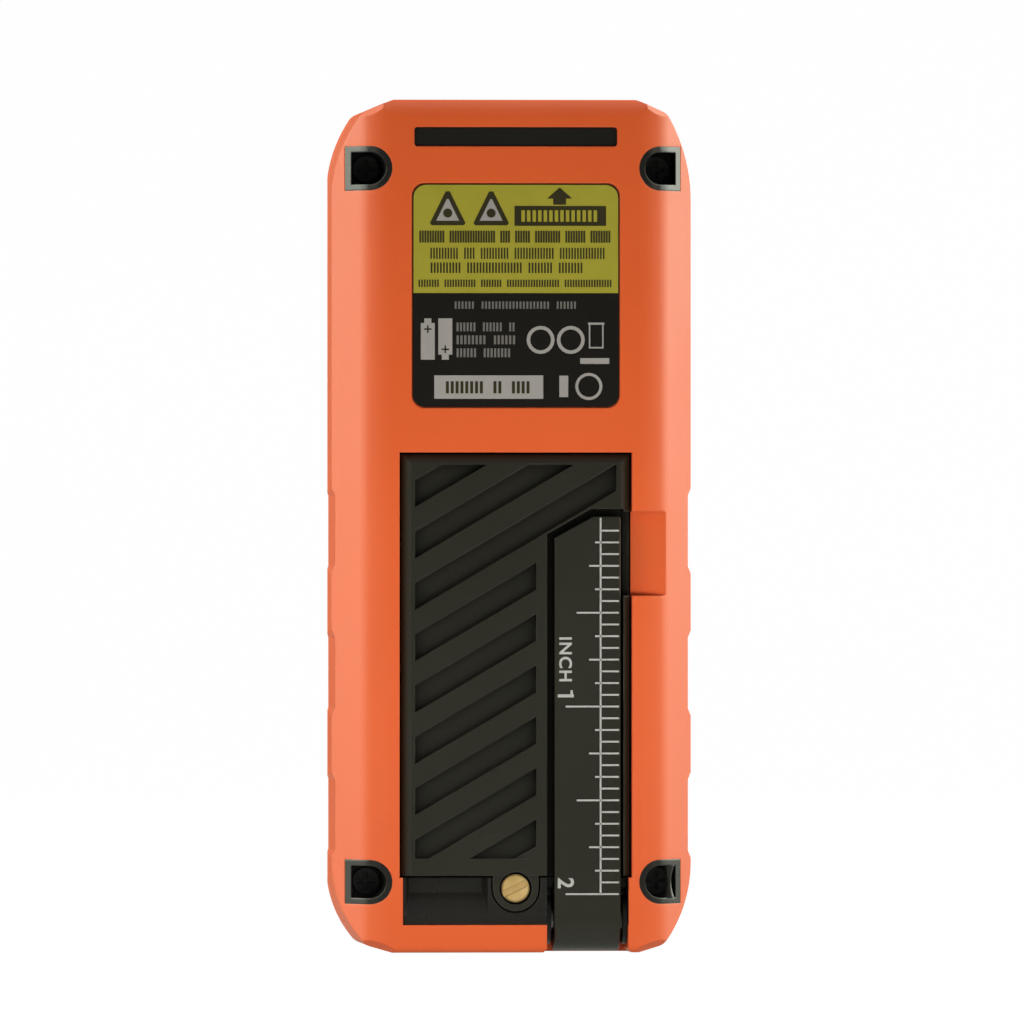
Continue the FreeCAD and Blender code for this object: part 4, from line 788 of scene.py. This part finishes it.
# ---------------------------------------------------------------- keys
# Silicone-backed moulded caps: eight grey ones and one round orange measuring key,
# each with a plain sign pad-printed on top.
key_grey = moulded("key_grey", (0.105, 0.108, 0.112), (0.135, 0.138, 0.142), (0.26, 0.26, 0.26),
                   (0.04, 0.04, 0.04), 0.5, grain=1500.0, wear_and_highlight=0.3)
key_orange = moulded("key_orange", (0.74, 0.105, 0.022), (0.80, 0.125, 0.028), (0.90, 0.30, 0.16),
                     (0.30, 0.05, 0.015), 0.45, wear_and_highlight=0.25)
key_ink = printed_ink("key_ink", (0.74, 0.74, 0.72), (0.82, 0.82, 0.80))
key_names = ("recall", "clear", "light", "minus", "reference", "plus", "area", "measure", "height")
finish_nodes(key_orange, "measure_key")
finish_nodes(key_grey, *[name + "_key" for name in key_names if name != "measure"])


def key_sign(name):
    """Prints a key's sign on its cap; it rides on the key's own body."""
    low, high = [Vector(corner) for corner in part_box(name + "_key")]
    x, z = (low.x + high.x) / 2, (low.z + high.z) / 2
    y0, y1 = low.y - 0.014 * MM, low.y - 0.002 * MM
    mesh = bmesh.new()

    def bar(left, right, bottom, top):
        add_block(mesh, x + left * MM, x + right * MM, y0, y1, z + bottom * MM, z + top * MM)

    def bow(radius, thick, start=0, end=360, across=0.0, up=0.0):
        add_bow(mesh, x + across * MM, z + up * MM, radius * MM, (radius - thick) * MM, start, end, y0, y1)

    def sloped(*points):
        add_prism(mesh, [(x + across * MM, z + up * MM) for across, up in points], y0, y1)

    if name == "recall":
        for row in (-1.0, 0.0, 1.0):
            bar(-1.6, 1.6, row - 0.17, row + 0.17)
    elif name == "clear":
        bow(1.6, 0.36, -50, 230)
        bar(-0.18, 0.18, 0.7, 2.1)
    elif name == "light":
        bow(0.9, 0.32)
        for ray in range(8):
            angle = math.radians(45 * ray)
            across, up = math.cos(angle), math.sin(angle)
            sloped(*[(across * reach - up * side, up * reach + across * side)
                     for reach, side in ((1.2, -0.14), (1.9, -0.14), (1.9, 0.14), (1.2, 0.14))])
    elif name in ("minus", "plus"):
        bar(-1.5, 1.5, -0.22, 0.22)
        if name == "plus":
            bar(-0.22, 0.22, 0.22, 1.5)
            bar(-0.22, 0.22, -1.5, -0.22)
    elif name == "reference":
        bar(-1.6, 1.6, -1.7, -1.35)
        bar(-0.17, 0.17, -1.35, 0.6)
        sloped((-0.8, 0.6), (0.8, 0.6), (0.0, 1.7))
    elif name == "area":
        for left, right, bottom, top in ((-1.6, 1.6, 1.0, 1.3), (-1.6, 1.6, -1.3, -1.0),
                                         (-1.6, -1.3, -1.0, 1.0), (1.3, 1.6, -1.0, 1.0)):
            bar(left, right, bottom, top)
    elif name == "height":
        bar(1.2, 1.5, -1.3, 1.4)
        bar(-1.7, 1.2, -1.6, -1.3)
        sloped((-1.7, -1.3), (-1.3, -1.3), (1.2, 1.0), (1.2, 1.4))
    else:
        bow(2.3, 0.4)
        bow(0.7, 0.7)
        for ray in range(4):
            angle = math.radians(90 * ray)
            across, up = math.cos(angle), math.sin(angle)
            sloped(*[(across * reach - up * side, up * reach + across * side)
                     for reach, side in ((2.7, -0.17), (3.6, -0.17), (3.6, 0.17), (2.7, 0.17))])
    return piece(name + "_sign", mesh, key_ink, name + "_key")


for key_name in key_names:
    key_sign(key_name)

# ---------------------------------------------------------------- optics
# Two flat panes in the end cap guard the laser outlet and the large receiving lens.
# Behind them a cast frame holds the lens, the laser's tube and the detector.
coated_glass, tree, shader = principled("coated_glass", Transmission_Weight=1.0, IOR=1.52)
smears = tree.nodes.new("ShaderNodeTexNoise")
smears.inputs["Scale"].default_value = 260.0
tree.links.new(scaled(tree, smears.outputs["Fac"], 0.06, -0.01), shader.inputs["Roughness"])
tree.links.new(blended(tree, smears.outputs["Fac"], (0.78, 0.86, 0.98), (0.88, 0.92, 0.99)),
               shader.inputs["Base Color"])
finish_nodes(coated_glass, "receiver_window", "emitter_window", "receiver_lens", "collimator_lens")
cast_grey = moulded("cast_grey", (0.10, 0.10, 0.10), (0.16, 0.16, 0.16), (0.30, 0.30, 0.30),
                    (0.03, 0.03, 0.03), 0.55, grain=1800.0, grain_height=0.00002)
finish_nodes(cast_grey, "optics_frame")
finish_nodes(steel, "detector")

# ---------------------------------------------------------------- electronics
# Green fibreglass boards with gold pads, black chips, a buzzer, snap domes under a
# grey silicone mat, and an amber flexible strip up to the detector.


def board_finish():
    """Solder mask over copper tracks, with small tinned pads."""
    material, tree, shader = principled("solder_mask", Roughness=0.35)
    place = tree.nodes.new("ShaderNodeTexCoord")
    tracks = tree.nodes.new("ShaderNodeTexBrick")
    tracks.inputs["Scale"].default_value = 260.0
    tracks.inputs["Mortar Size"].default_value = 0.06
    tracks.inputs["Color1"].default_value = (0.010, 0.085, 0.035, 1)
    tracks.inputs["Color2"].default_value = (0.012, 0.105, 0.045, 1)
    tracks.inputs["Mortar"].default_value = (0.05, 0.20, 0.08, 1)
    pads = tree.nodes.new("ShaderNodeTexVoronoi")
    pads.inputs["Scale"].default_value = 420.0
    tinned = tree.nodes.new("ShaderNodeMath")
    tinned.operation = "LESS_THAN"
    tinned.inputs[1].default_value = 0.16
    turned = tree.nodes.new("ShaderNodeMapping")
    turned.inputs["Rotation"].default_value = (math.radians(90), 0, 0)
    tree.links.new(place.outputs["Object"], turned.inputs["Vector"])
    tree.links.new(turned.outputs["Vector"], tracks.inputs["Vector"])
    tree.links.new(place.outputs["Object"], pads.inputs["Vector"])
    tree.links.new(pads.outputs["Distance"], tinned.inputs[0])
    tree.links.new(blended(tree, tinned.outputs["Value"], tracks.outputs["Color"], (0.62, 0.50, 0.24)),
                   shader.inputs["Base Color"])
    tree.links.new(tinned.outputs["Value"], shader.inputs["Metallic"])
    return material


chip_black = moulded("chip_black", (0.012, 0.012, 0.012), (0.02, 0.02, 0.02), (0.06, 0.06, 0.06),
                     (0.006, 0.006, 0.006), 0.5, grain=3000.0)
mat_grey = moulded("mat_grey", (0.16, 0.16, 0.17), (0.20, 0.20, 0.21), (0.26, 0.26, 0.26),
                   (0.08, 0.08, 0.08), 0.6)
amber_film = printed_film("amber_film", (0.42, 0.18, 0.03), (0.52, 0.24, 0.05), 0.3)
finish_nodes(board_finish(), "main_board", "detector_board")
finish_nodes(chip_black, "processor_chip", "range_chip", "buzzer")
finish_nodes(mat_grey, "keypad_mat")
finish_nodes(amber_film, "flex_strip")
finish_nodes(steel, "key_domes")

# ---------------------------------------------------------------- cells
# Two small alkaline cells lie opposite ways on plated contacts and coil springs.


def cell_wrap():
    """Printed shrink sleeve: a broad dark band and a coppery one, with bare steel ends."""
    material, tree, shader = principled("cell_wrap", Roughness=0.32)
    place = tree.nodes.new("ShaderNodeTexCoord")
    parts = tree.nodes.new("ShaderNodeSeparateXYZ")
    bands = tree.nodes.new("ShaderNodeValToRGB")
    bands.color_ramp.interpolation = "CONSTANT"
    along = tree.nodes.new("ShaderNodeMapRange")
    low, high = [Vector(corner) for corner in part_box("battery_left")]
    along.inputs["From Min"].default_value = low.z
    along.inputs["From Max"].default_value = high.z
    stops = bands.color_ramp.elements
    stops[0].color = (0.50, 0.50, 0.49, 1)
    stops[1].position = 0.03
    stops[1].color = (0.014, 0.014, 0.016, 1)
    for position, colour in ((0.70, (0.50, 0.22, 0.07, 1)), (0.955, (0.50, 0.50, 0.49, 1))):
        stops.new(position).color = colour
    scuffs = tree.nodes.new("ShaderNodeTexNoise")
    scuffs.inputs["Scale"].default_value = 500.0
    tree.links.new(place.outputs["Object"], parts.inputs["Vector"])
    tree.links.new(parts.outputs["Z"], along.inputs["Value"])
    tree.links.new(along.outputs["Result"], bands.inputs["Fac"])
    tree.links.new(bands.outputs["Color"], shader.inputs["Base Color"])
    tree.links.new(scaled(tree, scuffs.outputs["Fac"], 0.2, 0.2), shader.inputs["Roughness"])
    return material


finish_nodes(cell_wrap(), "battery_left", "battery_right")
finish_nodes(steel, "bridge_contact", "end_contacts", "contact_springs")
